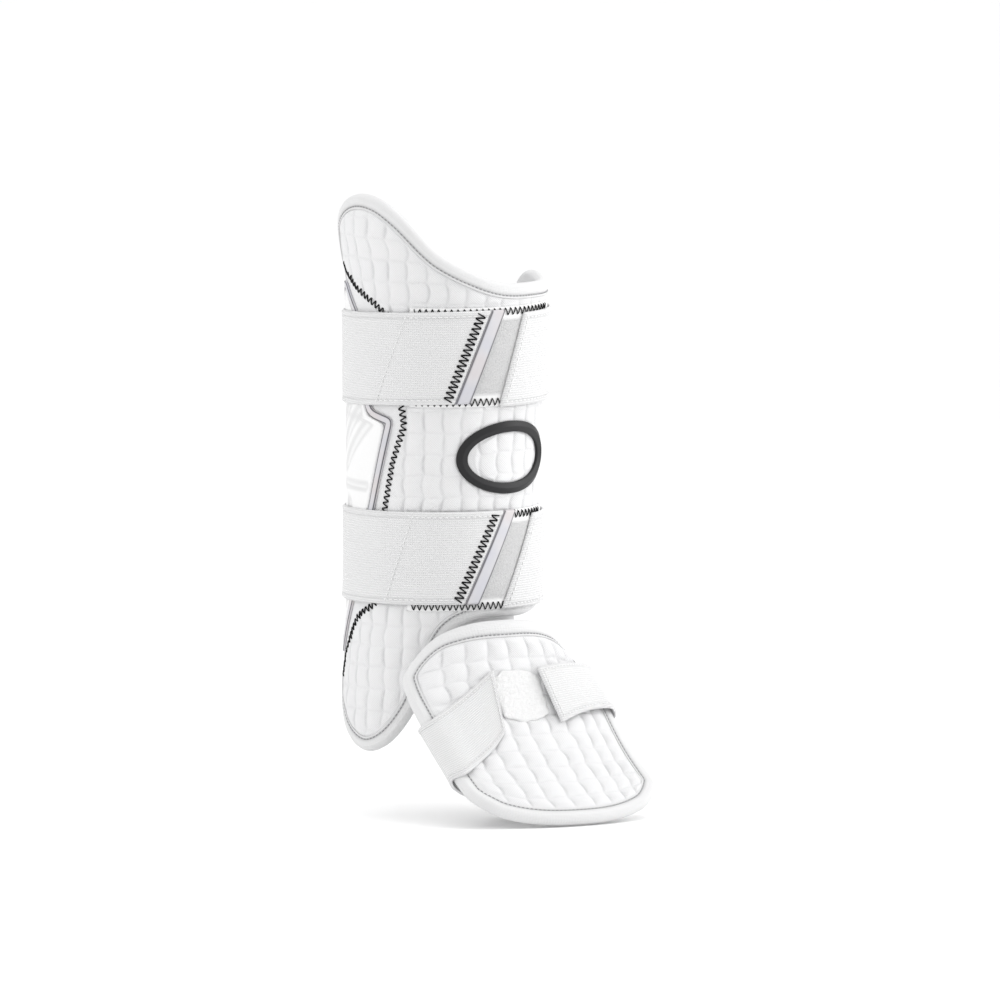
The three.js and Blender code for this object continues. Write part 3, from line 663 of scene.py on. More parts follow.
def ribbed_material(name, light, dark, ribs_per_mm, threads_per_mm, depth, shading=0.5):
    material, tree, shader, place, mix = cloth_material(name, light, dark, 0.8)
    node = place_group(
        tree, ribs, place, Ribs_per_mm=ribs_per_mm, Threads_per_mm=threads_per_mm, Fuzz=0.6)
    shade = math_node(tree, "MULTIPLY_ADD", node.outputs["Shade"], shading, 1 - shading)
    # Painted shade: the seam mask darkens the tape's groove and wall and the elastic's hem crease
    pressed = math_node(tree, "MULTIPLY", seam_mask(tree), 0.7)
    tree.links.new(math_node(tree, "SUBTRACT", shade, pressed), mix.inputs["Factor"])
    add_bump(tree, shader, node.outputs["Height"], depth)
    return material


def thread_material(name, color, roughness):
    """Twisted sewing thread, its twist as fine darker flecks."""
    material, tree, shader = plain_material(name, roughness)
    shader.inputs["Specular IOR Level"].default_value = 0.15
    where = tree.nodes.new("ShaderNodeTexCoord")
    twist = noise_texture(tree, where.outputs["Object"], 900)
    mix = colour_mix(tree, [0.6 * c for c in color], color)
    tree.links.new(twist.outputs[0], mix.inputs["Factor"])
    tree.links.new(mix.outputs["Result"], shader.inputs["Base Color"])
    add_bump(tree, shader, twist.outputs[0], 0.0001)
    return material


tape_white = ribbed_material(
    "binding_tape", (0.72, 0.72, 0.722), (0.5, 0.5, 0.505), 1.1, 0.5, 0.00014, 0.25)
white_thread = thread_material("white_thread", (0.97, 0.97, 0.97), 0.6)
# Grey thread on the binding is white thread darkened: painted shade for stitches sunk in the tape's groove
thread_in_shade = thread_material("thread_in_shade", (0.33, 0.33, 0.34), 0.6)
black_thread = thread_material("black_thread", (0.008, 0.008, 0.009), 0.7)
leg_binding = new_piece("leg_binding_tape", *tape_ring(leg_loop, leg_surface))
dress(leg_binding, tape_white, "binding", "leg_binding")
tape_stitches("leg_binding_stitches", leg_loop, leg_surface, thread_in_shade)

# Side shield: a thin moulded plate of white plastic on the outer side, with shallow grooves in it,
# set in a bent satin strip and carried by a smooth base that a black zigzag sews to the quilting.
shield_top = 292.0
shield_height = 257.0
shield_seat = 0.5
shield_thickness = 1.6
shield_rim_width = 5.6
shield_rim_thickness = 1.5
shield_bar_turns = (90.0, 107.0, 124.0)
shield_cross_height = 153.0
open_girth = 99.0
shield_front = np.array([
    (0.0, 121), (0.078, 104), (0.33, 91), (0.352, 73.5), (0.6, 88), (0.856, 110), (1.0, 128),
])
shield_back = np.array([
    (0.0, 131), (0.078, 139), (0.33, 143), (0.352, 143), (0.6, 143), (0.856, 140), (1.0, 134),
])
shield_loop = np.array(
    [(turn * girth_per_turn, shield_top - fall * shield_height) for fall, turn in shield_front]
    + [(turn * girth_per_turn, shield_top - fall * shield_height) for fall, turn in shield_back[::-1]]
)


def rounded_loop(loop, radius, steps=5):
    """The loop with each corner cut by a short curve."""
    found = []
    for k, corner in enumerate(loop):
        before, after = loop[k - 1], loop[(k + 1) % len(loop)]
        reach_in = min(radius, np.linalg.norm(before - corner) / 2.1)
        reach_out = min(radius, np.linalg.norm(after - corner) / 2.1)
        start = corner + unit(before - corner) * reach_in
        end = corner + unit(after - corner) * reach_out
        for share in np.linspace(0, 1, steps):
            found.append((1 - share)**2 * start + 2 * share * (1 - share) * corner + share**2 * end)
    return np.array(found)


def shield_relief(across, height, inside):
    """Grooves in the plate: a crest, slanting bars, a cross bar, and a long wedge below."""
    turn = across / girth_per_turn
    lift = 0.0 * across
    slant = turn + 0.95 * (height - 200)
    for at in shield_bar_turns:
        bar = np.exp(-((slant - at) / 4.6)**6) * ease(160, 165, height) * (1 - ease(206, 211, height))
        lift = lift - 0.95 * bar
    lift = lift - 0.8 * np.exp(-((height - shield_cross_height) / 2.6)**6)
    wedge = np.abs(turn - 118 - 0.14 * (height - 150)) - 0.17 * (150 - height)
    lift = lift - 0.9 * np.exp(-(wedge / 2.2)**6) * ease(46, 60, height) * (1 - ease(140, 146, height))
    crest = np.abs(turn - 112 + 0.5 * (height - 214)) - 0.3 * (height - 214)
    lift = lift - 0.9 * np.exp(-(crest / 2.6)**6) * ease(216, 222, height) * (1 - ease(262, 272, height))
    return lift * ease(2.5, 5, inside)


def rolled_edge(edge, radius):
    """How full a rounded edge stands, from 0 at the rim to 1 at the radius and beyond."""
    return np.sqrt(1 - (1 - np.clip(edge / radius, 0, 1))**2)


def shield_plate():
    loop = rounded_loop(inset_on_pad(shield_loop, shield_rim_width + 0.3, leg_surface), 4)
    heights = np.linspace(loop[:, 1].min() + 0.4, loop[:, 1].max() - 0.4, 181)
    first, last = spans(loop, heights, 1, 0)
    across = first[:, None] + (last - first)[:, None] * np.linspace(0, 1, 49)
    height = np.repeat(heights[:, None], 49, axis=1)
    inside = np.maximum(distance_to(loop, across, height), 0)
    lift = shield_seat + shield_thickness * (0.35 + 0.65 * rolled_edge(inside, 2.2))
    pressed = shield_relief(across, height, inside)
    outer = leg_surface(across, height, lift + pressed)
    inner = leg_surface(across[::2, ::2], height[::2, ::2], shield_seat)
    points, faces = closed_sheet(outer, inner)
    places = np.stack([across.ravel(), height.ravel()], axis=1)
    under = np.stack([across[::2, ::2].ravel(), height[::2, ::2].ravel()], axis=1)
    # The grooves' walls, and a little their floors, carry painted shade
    slope = np.hypot(*np.gradient(pressed))
    hollow = np.clip(slope / 0.3, 0, 1) * 0.8 + np.clip(-pressed, 0, 1) * 0.2
    hollow = np.concatenate([hollow.ravel(), np.zeros(len(under))])
    return points, faces, np.concatenate([places, under]), hollow


def flat_ring(loop, inset, section, surface):
    """A strip that follows a loop on the leg; section gives (aside, lift) points round it.

    Its cloth places wrap along its length alone, so its girth is given as open_girth.
    """
    middle = inset_on_pad(loop, inset, surface)
    outwards = unit(loop_outwards(middle))
    points = np.stack([
        surface(middle[:, 0] + aside * outwards[:, 0], middle[:, 1] + aside * outwards[:, 1], lift)
        for aside, lift in section
    ], axis=1)
    sections, sides = points.shape[:2]
    length = np.cumsum(np.linalg.norm(np.roll(middle, -1, axis=0) - middle, axis=1))
    aside = np.array([s[0] for s in section])
    places = np.stack(np.meshgrid(length, aside, indexing="ij"), axis=-1).reshape(-1, 2)
    border = np.array([1.0 if 2.0 < abs(s[0]) < 2.6 else 0.0 for s in section])
    border = np.tile(border, sections)
    return points.reshape(-1, 3), ring_faces(sections, sides), places, border, (length[-1], open_girth)


def zigzag(line, surface, width, pitch, lift):
    """Stitches from side to side of a line on a surface; gives starts, ends and upwards."""
    places = even_steps(line, pitch / 2)
    ahead = unit(np.gradient(places, axis=0))
    side = np.where(np.arange(len(places)) % 2 == 0, 1, -1)[:, None] * width / 2
    holes = places + np.stack([-ahead[:, 1], ahead[:, 0]], axis=1) * side
    rise = lift(holes[:, 0], holes[:, 1]) if callable(lift) else lift
    on_cloth = surface(holes[:, 0], holes[:, 1], rise)
    up = surface(holes[:, 0], holes[:, 1], np.asarray(rise) + 1) - on_cloth
    return on_cloth[:-1], on_cloth[1:], up[:-1]


def together(*groups):
    return [np.concatenate(parts) for parts in zip(*groups)]


def satin_material(name):
    """Satin, dark-bordered; painted iridescent sheen: pale lilac, rose and cream bands drifting along it."""
    material, tree, shader, place, mix = cloth_material(name, (0.6, 0.6, 0.64), (0.06, 0.06, 0.07), 0.38, 0)
    shader.inputs["Coat Weight"].default_value = 0.1
    drift = noise_texture(tree, place, 0.035, 1)
    hues = tree.nodes.new("ShaderNodeValToRGB")
    stops = hues.color_ramp.elements
    stops[0].position, stops[0].color = 0.3, (0.54, 0.54, 0.6, 1)
    stops[1].position, stops[1].color = 0.72, (0.6, 0.585, 0.56, 1)
    stops.new(0.42).color = (0.56, 0.56, 0.59, 1)
    stops.new(0.5).color = (0.59, 0.58, 0.6, 1)
    stops.new(0.6).color = (0.59, 0.56, 0.57, 1)
    tree.links.new(drift.outputs[0], hues.inputs[0])
    tree.links.new(hues.outputs[0], mix.inputs["B"])
    tree.links.new(math_node(tree, "SUBTRACT", 1.0, seam_mask(tree)), mix.inputs["Factor"])
    fine = place_group(tree, ribs, place, Ribs_per_mm=2.2, Threads_per_mm=2.0, Fuzz=0.2)
    add_bump(tree, shader, fine.outputs["Height"], 0.00003)
    return material


def plastic_material(name, light, dark, roughness):
    """Moulded plastic: a fine spark-eroded grain, faint clouds, and painted shade in its hollows."""
    material, tree, shader = plain_material(name, roughness)
    where = tree.nodes.new("ShaderNodeTexCoord")
    grain = noise_texture(tree, where.outputs["Object"], 1400)
    cloud = noise_texture(tree, where.outputs["Object"], 35, 3)
    mix = colour_mix(tree, dark, light)
    tree.links.new(cloud.outputs[0], mix.inputs["Factor"])
    # Painted shade in the hollows: the seam mask darkens the colour there
    hollow_shade = colour_mix(tree, dark, [0.84 * c for c in dark])
    tree.links.new(seam_mask(tree), hollow_shade.inputs["Factor"])
    tree.links.new(mix.outputs["Result"], hollow_shade.inputs["A"])
    tree.links.new(hollow_shade.outputs["Result"], shader.inputs["Base Color"])
    tree.links.new(math_node(tree, "MULTIPLY_ADD", grain.outputs[0], 0.16, roughness - 0.08),
                   shader.inputs["Roughness"])
    add_bump(tree, shader, grain.outputs[0], 0.00004)
    return material


shield_white = plastic_material("shield_plastic", (0.8, 0.8, 0.8), (0.76, 0.76, 0.762), 0.4)
satin = satin_material("satin_strip")
side_shield = new_piece("side_shield_plate", *shield_plate())
dress(side_shield, shield_white, "shield", "side_shield")
rim_top = shield_seat + shield_rim_thickness
rim_section = [
    (2.8, shield_seat), (2.75, rim_top - 0.5), (2.45, rim_top - 0.1), (2.1, rim_top), (1.5, rim_top + 0.08),
    (0.0, rim_top + 0.12), (-1.5, rim_top + 0.08), (-2.1, rim_top), (-2.45, rim_top - 0.1),
    (-2.75, rim_top - 0.5), (-2.8, shield_seat),
]
rim_loop = even_steps(rounded_loop(shield_loop, 5), 2.5, closed=True)
shield_rim = new_piece(
    "shield_rim_strip", *flat_ring(rim_loop, shield_rim_width / 2, rim_section, leg_surface))
dress(shield_rim, satin, "satin", "shield_rim")

# Shield base: the quilting under and round the plate is pressed smooth, and a bold black zigzag of
# thick thread runs along its edge and ends short of the binding.
zigzag_pitch = 4.0
zigzag_width = 5.6
black_thread_width = 1.0
thread_lift = 0.12
zigzag_end_gap = 3


def on_quilt(across, height):
    return np.maximum(leg_relief(across, height)[0], base_lift) + thread_lift


base_line = even_steps(np.array([(turn * girth_per_turn, height) for height, turn in base_edge[1:-1]]), 1)
from_panel_edge = distance_to(leg_loop, base_line[:, 0], base_line[:, 1])
base_line = base_line[from_panel_edge > 2 * binding_radius + zigzag_end_gap]
base_stitches = zigzag(base_line, leg_surface, zigzag_width, zigzag_pitch, on_quilt)
sew("shield_base_zigzag", *base_stitches, black_thread_width, black_thread, "quilt")

# Leg straps: wide white elastic woven with fine ribs, right round the leg. A satin strip finishes
# each slanting end, which grips a fuzzy loop patch on the shin; a short tab carries the loop back.
strap_thickness = 2.0
patch_thickness = 1.8
patch_lift = 0.3
strap_lift = patch_thickness + 2 * patch_lift
tab_end_turn = -85.0
end_strip_turn = 9.2
end_strip_thickness = 2.6
climb_turn = 10.0
leg_straps = {
    "upper": {"climb": 3.5, "end": (37.0, 17.0), "tab": (9.8, -6.4), "tab_raise": 0.5, "box": (85.0, 64.0)},
    "lower": {"climb": 1.0, "end": (29.5, 5.5), "tab": (5.0, -21.0), "tab_raise": -3.4, "box": (77.5, 59.0)},
}
strap_girth_per_turn = 1.15
end_gap = 0.3
hem_width = 3.6
woven_edge = 1.3
end_roll = 1.1
patch_roll = 1.2
patch_hem = 8.6


def strap_places(start_turn, end_turn, low, step):
    """Turns, heights and places across for a band whose two ends may slant."""
    long_side = abs(end_turn(0.5) - start_turn(0.5)) * 1.24
    columns = 2 * round(long_side / step / 2) + 1
    rows = 2 * round(strap_width / 1.3 / 2) + 1
    share = np.linspace(0, 1, rows)
    u = np.linspace(0, 1, columns)[:, None]
    turn = start_turn(share) * (1 - u) + end_turn(share) * u
    return turn, low(turn) + strap_width * share, share * strap_width + 0 * turn


def sheet_piece(name, outer, inner, across, along, seam=None):
    """A sheet from the points of its two faces, with the same cloth places on both."""
    points, faces = closed_sheet(outer, inner)
    places = np.stack([across.ravel(), along.ravel()], axis=1)
    if seam is not None:
        seam = np.concatenate([seam.ravel(), 0 * seam.ravel()])
    return new_piece(name, points, faces, np.concatenate([places, places]), seam)


def leg_sheet(name, turn, height, outer, under, seam):
    """A sheet that lies round the leg, from its turns, heights and the lifts of its faces."""
    return sheet_piece(
        name, leg_point(turn, height, outer), leg_point(turn, height, under),
        turn * girth_per_turn, height, seam)


def band(name, turn, height, beside, from_end):
    """An elastic band with woven edges and a sewn-down hem along its rim."""
    edge = np.minimum(np.minimum(beside, strap_width - beside), from_end)
    fold = 1 - ease(hem_width - 0.5, hem_width + 0.4, edge)
    crease = np.exp(-((edge - hem_width) / 0.45)**2)
    outer = strap_lift + strap_thickness * (0.3 + 0.7 * rolled_edge(edge, woven_edge))
    outer = outer + 0.22 * fold - 0.2 * crease + 0.25 * mottle(turn, height, 0.05, 0.02, 7)
    # The hem's crease also carries painted shade, through the seam attribute
    return leg_sheet(name, turn, height, outer, strap_lift, 0.45 * crease)


def cloth_line(turn, low, share):
    """A line on a strap, from turns and shares of the strap's width above its lower edge."""
    return np.stack([turn * girth_per_turn, low(turn) + strap_width * share], axis=1)


def dashes(line, surface, lift, pitch=3.7, length=2.9):
    """Running stitches along a line on a surface; gives starts, ends and upwards."""
    places = even_steps(line, pitch)
    half = unit(np.gradient(places, axis=0)) * length / 2
    starts = surface(places[:, 0] - half[:, 0], places[:, 1] - half[:, 1], lift)
    ends = surface(places[:, 0] + half[:, 0], places[:, 1] + half[:, 1], lift)
    return starts, ends, surface(places[:, 0], places[:, 1], lift + 1) - surface(
        places[:, 0], places[:, 1], lift)


def pile_material(name, light, dark, hem):
    """Brushed loop pile: soft tangled tufts, painted light on their tops and shade between, and its plain
    hem.
    """
    material, tree, shader, place, mix = cloth_material(name, light, dark, 0.95, 0.4)
    tufts = noise_texture(tree, place, 0.9, 6)
    tufts.inputs["Roughness"].default_value = 0.7
    tufts.inputs["Distortion"].default_value = 0.8
    spread = tree.nodes.new("ShaderNodeMapRange")
    spread.inputs["From Min"].default_value = 0.35
    spread.inputs["From Max"].default_value = 0.62
    tree.links.new(tufts.outputs[0], spread.inputs["Value"])
    tree.links.new(spread.outputs[0], mix.inputs["Factor"])
    in_hem = seam_mask(tree)
    trim = colour_mix(tree, dark, hem)
    tree.links.new(in_hem, trim.inputs["Factor"])
    tree.links.new(mix.outputs["Result"], trim.inputs["A"])
    tree.links.new(trim.outputs["Result"], shader.inputs["Base Color"])
    pile = math_node(tree, "SUBTRACT", 1.15, in_hem)
    add_bump(tree, shader, math_node(tree, "MULTIPLY", tufts.outputs[0], pile), 0.0012)
    return material


elastic_white = ribbed_material(
    "elastic_web", (0.83, 0.83, 0.832), (0.42, 0.42, 0.425), 0.62, 0.8, 0.00026, 0.6)
# The leg patches' grey pile is the white pile darkened: painted shade, where they lie between strap end and
# tab
pile_in_shade = pile_material("loop_pile_grey", (0.7, 0.7, 0.7), (0.54, 0.54, 0.545), (0.78, 0.78, 0.78))
stitch_rows = (0.055, 0.945)
white_thread_width = 0.85
end_zigzag_turn = 4.6
end_zigzag_width = 7.2
end_zigzag_pitch = 3.8
end_thread_width = 1.05
patch_zigzag_inset = 3.4
patch_thread_width = 0.8

for level, strap in leg_straps.items():
    middle = strap_heights[level]
    edge_gap = end_gap / girth_per_turn

    def low(turn):
        climb = strap["climb"] * np.cos(np.radians(turn - climb_turn))
        return middle - strap_width / 2 + climb

    def strap_end(share):
        return strap["end"][0] + (strap["end"][1] - strap["end"][0]) * share

    def joint(share):
        return 360 + tab_end_turn - edge_gap + 0 * share

    turn, height, beside = strap_places(strap_end, joint, low, 2.2)
    web = band(f"{level}_strap_web", turn, height, beside, strap_width)
    dress(web, elastic_white, "elastic", f"{level}_strap")

    # Satin strip on the strap's end, with a pressed border
    share = np.linspace(0, 1, 81)
    u = np.linspace(0, 1, 23)[:, None]
    turn = (strap_end(share) - end_strip_turn) * (1 - u) + (strap_end(share) - edge_gap) * u
    height = low(turn) + strap_width * share
    aside = np.minimum(u, 1 - u) * end_strip_turn * 1.2 + 0 * turn
    edge = np.minimum(aside, np.minimum(share, 1 - share) * strap_width)
    outer = strap_lift + end_strip_thickness * (0.45 + 0.5 * rolled_edge(edge, end_roll))
    outer = outer - 0.1 * np.exp(-((edge - end_roll) / 0.3)**2)
    border = np.exp(-((aside - 0.9) / 0.6)**2)
    strip = leg_sheet(f"{level}_end_strip_satin", turn, height, outer, strap_lift, border)
    dress(strip, satin, "satin", f"{level}_end_strip")

    # Tab, whose slanting end faces the strip across the patch
    tab_middle = middle + strap["tab_raise"]

    def tab_end(share):
        return strap["tab"][0] + (strap["tab"][1] - strap["tab"][0]) * share

    def tab_start(share):
        return tab_end_turn + 0 * share

    def tab_low(turn):
        return tab_middle - strap_width / 2 + 0 * turn

    turn, height, beside = strap_places(tab_start, tab_end, tab_low, 1.6)
    from_end = (tab_end(np.linspace(0, 1, turn.shape[1])) - turn) * strap_girth_per_turn
    web = band(f"{level}_tab_web", turn, height, beside, from_end)
    dress(web, elastic_white, "elastic", f"{level}_tab")

    # Loop patch under both, with a plain hem above and below
    patch_middle = middle + patch_raise[level]
    reach = strap_width / 2 + patch_margin
    turn, height = np.meshgrid(
        np.linspace(*patch_turns, 105),
        np.linspace(patch_middle - reach, patch_middle + reach, 57), indexing="ij")
    beside = reach - np.abs(height - patch_middle)
    from_end = np.minimum(turn - patch_turns[0], patch_turns[1] - turn) * strap_girth_per_turn
    hem = 1 - ease(patch_hem - 0.6, patch_hem + 0.6, beside)
    full = rolled_edge(np.minimum(beside, from_end), patch_roll)
    outer = patch_lift + patch_thickness * (0.3 + 0.7 * full) - 0.3 * hem
    outer = outer + 0.12 * mottle(turn, height, 0.9, 0.8, 3) - 0.2
    patch = leg_sheet(f"{level}_patch_pile", turn, height, outer, patch_lift, hem)
    dress(patch, pile_in_shade, "loop_pile", f"{level}_loop_patch")

    # Black zigzags: bold beside the satin strip, finer along the patch's two long edges
    thread_at = strap_lift + strap_thickness + thread_lift
    share = np.linspace(0.035, 0.965, 60)
    end_line = cloth_line(strap_end(share) + end_zigzag_turn, low, share)
    sew(f"{level}_end_zigzag", *zigzag(
        end_line, leg_surface, end_zigzag_width, end_zigzag_pitch, thread_at),
        end_thread_width, black_thread, "elastic")
    patch_lines = []
    across = np.linspace(patch_turns[0] + 9, patch_turns[1] - 3, 60) * girth_per_turn
    for rise in (reach - patch_zigzag_inset, patch_zigzag_inset - reach):
        line = np.stack([across, patch_middle + rise + 0 * across], axis=1)
        patch_lines.append(zigzag(
            line, leg_surface, zigzag_width, zigzag_pitch, patch_lift + patch_thickness - 0.1))
    sew(f"{level}_patch_zigzag", *together(*patch_lines), patch_thread_width, black_thread, "loop_pile")

    # White running stitches: the box that holds the hook under the strap's end, and the tab's hem
    def box_turn(share):
        return strap["box"][0] + (strap["box"][1] - strap["box"][0]) * share

    share = np.linspace(*stitch_rows, 40)
    rows = [cloth_line(box_turn(share), low, share)]
    for row in stitch_rows:
        rows.append(cloth_line(np.linspace(strap_end(row) + 8, box_turn(row), 40), low, row))
    tab_hem = hem_width / strap_girth_per_turn
    for row in stitch_rows:
        rows.append(cloth_line(np.linspace(tab_end_turn + 2, tab_end(row) - tab_hem, 60), tab_low, row))
    rows.append(cloth_line(tab_end(share) - tab_hem, tab_low, share))
    sew(f"{level}_strap_stitches", *together(*(
        dashes(row, leg_surface, thread_at) for row in rows)), white_thread_width, white_thread, "elastic")

# Badge: a plain oval ring of black moulded rubber, highest along its middle with a bevel on either
# side, heat-pressed on to the quilting of the shin between the two straps.
badge_thickness = 3.2
badge_seat = 0.3
badge_steps = 128
badge_profile = [
    (0.0, 0.0), (0.0, 0.45), (0.25, 0.56), (3.4, 0.97), (3.75, 1.0), (4.1, 0.97), (7.25, 0.56),
    (7.5, 0.45), (7.5, 0.0),
]
angle = np.linspace(0, 2 * math.pi, badge_steps + 1)[:-1]
ring = np.stack([
    leg_surface(
        (badge_size[0] / 2 - inset) * np.cos(angle),
        badge_height_on_shin + (badge_size[1] / 2 - inset) * np.sin(angle),
        badge_seat + badge_thickness * share,
    )
    for inset, share in badge_profile
], axis=1)
badge_black = plastic_material("badge_rubber", (0.016, 0.016, 0.017), (0.009, 0.009, 0.01), 0.5)
badge_black.node_tree.nodes["Principled BSDF"].inputs["Specular IOR Level"].default_value = 0.3
badge = new_piece("front_badge_ring", ring.reshape(-1, 3), ring_faces(badge_steps, len(badge_profile)))
badge.data.polygons.foreach_set("use_smooth", [False] * len(badge.data.polygons))
dress(badge, badge_black, "badge", "front_badge")

# Foot flap: a second quilted pad, domed over the instep, bound with the same tape. Its places run
# across the foot, the outer side first, and along it from the ankle to the toes.
foot_turn = math.radians(11.1)
flap_top = 63.0
flap_gap = 86.2
flap_length = 165.0
flap_reach = 96.0
flap_drop = 126.0
flap_half_width = 76.0
flap_top_corner = 24.0
flap_toe_corner = 20.0
flap_columns = ("ridge_reach", "ridge_drop", "edge_reach", "edge_drop", "spread", "drift")
flap_sections = np.array([
    (0.0, 0.0, 0.0, -0.326, 0.192, 0.81, 0.0),
    (0.15, 0.073, 0.185, -0.167, 0.315, 0.95, 0.0),
    (0.31, 0.1875, 0.37, 0.031, 0.42, 1.0, 0.0),
    (0.59, 0.47, 0.654, 0.41, 0.673, 0.985, 0.02),
    (1.0, 1.0, 1.0, 0.796, 0.885, 0.97, 0.075),
])
flap_cell_width = 16.5
flap_seam_at = 2.0
flap_crown = 2.3
foot_patch_half_width = 18.5
foot_patch_back = 35.0
foot_patch_length = 39.0
foot_patch_thickness = 1.5
foot_ahead = np.array([-math.sin(foot_turn), -math.cos(foot_turn), 0])
foot_outwards = np.array([-math.cos(foot_turn), math.sin(foot_turn), 0])


def foot_point(ahead, side, height):
    ahead, side, height = np.broadcast_arrays(ahead, side, height)
    return (ahead[..., None] * foot_ahead + side[..., None] * foot_outwards
            + height[..., None] * np.array([0, 0, 1.0]))


def flap_skin(across, along):
    share = np.clip(along / flap_length, 0, 1)
    row = {
        name: read_table(flap_sections[:, [0, k + 1]], share)
        for k, name in enumerate(flap_columns)
    }
    side = across / flap_half_width
    ridge = flap_gap + flap_reach * row["ridge_reach"]
    edge = flap_gap + flap_reach * row["edge_reach"]
    ridge_height = flap_top - flap_drop * row["ridge_drop"]
    edge_height = flap_top - flap_drop * row["edge_drop"]
    return foot_point(
        ridge - (ridge - edge) * side**2,
        flap_half_width * (row["spread"] * side - row["drift"]),
        ridge_height - (ridge_height - edge_height) * np.abs(side)**3,
    )


def flap_surface(across, along, lift):
    across, along, lift = np.broadcast_arrays(
        np.asarray(across, float), np.asarray(along, float), np.asarray(lift, float))
    inside = np.clip(along, 1, flap_length - 1)
    down = flap_skin(across, inside + 1) - flap_skin(across, inside - 1)
    outwards = flap_skin(across + 1, inside) - flap_skin(across - 1, inside)
    return flap_skin(across, along) + unit(np.cross(outwards, down)) * lift[..., None]


def flap_relief(across, along):
    drawn = across * (1 + 0.35 * np.clip(-across / flap_half_width, 0, 1)**2)
    crown, seam = cell_relief(drawn, along + 4, flap_seam_at, flap_cell_width, 1.0, 0.75)
    lift = crown * (flap_crown + seam_depth) - seam_depth
    away = box_distance(
        across, along, (-foot_patch_half_width, foot_patch_back),
        (foot_patch_half_width, foot_patch_back + foot_patch_length))
    lift = np.minimum(lift, pressed_lift + press_slope * away)
    return lift, seam * ease(-0.6, 0.8, lift + seam_depth)


def corner(x, y, radius, start):
    angle = np.radians(np.linspace(start, start + 90, 9))
    return np.stack([x + radius * np.cos(angle), y + radius * np.sin(angle)], axis=1)


flap_loop = even_steps(np.concatenate([
    corner(flap_half_width - flap_toe_corner, flap_length - flap_toe_corner, flap_toe_corner, 0),
    corner(flap_toe_corner - flap_half_width, flap_length - flap_toe_corner, flap_toe_corner, 90),
    corner(flap_top_corner - flap_half_width, flap_top_corner, flap_top_corner, 180),
    corner(flap_half_width - flap_top_corner, flap_top_corner, flap_top_corner, 270),
]), 3, closed=True)
foot_panel = new_piece("foot_flap_quilt", *pad_body(flap_loop, flap_surface, 181, 4, flap_relief))
dress(foot_panel, quilt_white, "quilt", "foot_panel")
ankle_edge = 0.5 * (1 - ease(10, 40, flap_loop[:, 1]))
foot_binding = new_piece("foot_binding_tape", *tape_ring(flap_loop, flap_surface, ankle_edge))
dress(foot_binding, tape_white, "binding", "foot_binding")
tape_stitches("foot_binding_stitches", flap_loop, flap_surface, thread_in_shade)

# Patch of long loop pile on the middle of the flap; both ends of the foot strap grip it.
foot_patch_lift = 0.3
x, y = np.meshgrid(np.linspace(-1, 1, 61), np.linspace(-1, 1, 61), indexing="ij")
bearing = np.arctan2(y, x)
ragged = mottle(np.cos(bearing), np.sin(bearing), 3, 3, 5)
corner_pull = 1.02 - 0.2 * np.abs(x)**3 * np.abs(y)**3 + 0.06 * ragged * np.hypot(x, y)**2
across = x * foot_patch_half_width * corner_pull
along = foot_patch_back + foot_patch_length * (0.5 + 0.5 * y * corner_pull)
edge = np.minimum((1 - np.abs(x)) * foot_patch_half_width, (1 - np.abs(y)) * foot_patch_length / 2)
full = rolled_edge(edge, 2.5)
tuft = mottle(across, along, 0.35, 0.35, 9) + 0.6 * mottle(across, along, 1.1, 1.1, 2)
lift = foot_patch_lift + foot_patch_thickness * (0.35 + 0.65 * full) + 0.45 * tuft * full
pile_white = pile_material("loop_pile_white", (0.95, 0.95, 0.95), (0.86, 0.86, 0.86), (0.9, 0.9, 0.9))
foot_patch = sheet_piece(
    "foot_patch_pile", flap_surface(across, along, lift), flap_surface(across, along, foot_patch_lift),
    across, along)
dress(foot_patch, pile_white, "loop_pile", "foot_loop_patch")

# Foot strap: one length of elastic under the sole; it folds over both edges of the flap and its
# two hemmed ends stop short of each other on the patch.
foot_strap_thickness = 2.0
sole_drop = 62.0
fold_out = 2.6
fold_under = 3.2
inner_stand_off = 2.0
strap_on_outer_side = [
    (0.22, 0.2, 0.31, 0.51), (0.45, 0.28, 0.5, 0.59), (0.68, 0.35, 0.7, 0.66), (0.93, 0.41, 0.93, 0.755),
]
strap_on_inner_side = [
    (-0.22, 0.21, -0.29, 0.485), (-0.5, 0.195, -0.55, 0.44), (-0.75, 0.18, -0.78, 0.42),
    (-0.94, 0.17, -0.94, 0.42),
]
strap_under_sole = [
    (0.78, 1.1, 1.44, 0.5, 0.8), (0.45, 1.06, 1.42, 0.78, 0.95), (0.0, 1.0, 1.4, 0.95, 1.03),
    (-0.45, 0.92, 1.34, 0.86, 0.98), (-0.82, 0.84, 1.26, 0.42, 0.68),
]
foot_strap_lift = 2 * foot_patch_lift + foot_patch_thickness + foot_strap_thickness / 2
strap_steps = 320
strap_rows = 40
foot_hem = 3.4
foot_sewn_length = 70
foot_thread_width = 0.8


def foot_strap_edge(front):
    """One long edge of the strap, from the outer end under the sole to the inner end."""
    def on_flap(rows, extra):
        return [
            flap_surface(
                flap_half_width * row[2 * front], flap_length * row[2 * front + 1], foot_strap_lift + extra)
            for row in rows
        ]

    def fold(row, out):
        sign = math.copysign(1, row[0])
        along = flap_length * row[2 * front + 1]
        return [
            flap_surface(sign * (flap_half_width + out), along, -pad_wall / 2),
            flap_surface(sign * (flap_half_width - 1), along, -pad_wall - fold_under),
        ]

    sole = [
        foot_point(flap_reach * row[1 + front], flap_half_width * row[0], -sole_drop * row[3 + front])
        for row in strap_under_sole
    ]
    outer, inner = strap_on_outer_side, strap_on_inner_side
    path = (
        on_flap(outer, 0) + fold(outer[-1], fold_out) + sole
        + fold(inner[-1], fold_out + inner_stand_off)[::-1] + on_flap(inner, inner_stand_off)[::-1]
    )
    return smooth_path(path, False, strap_steps + 1)


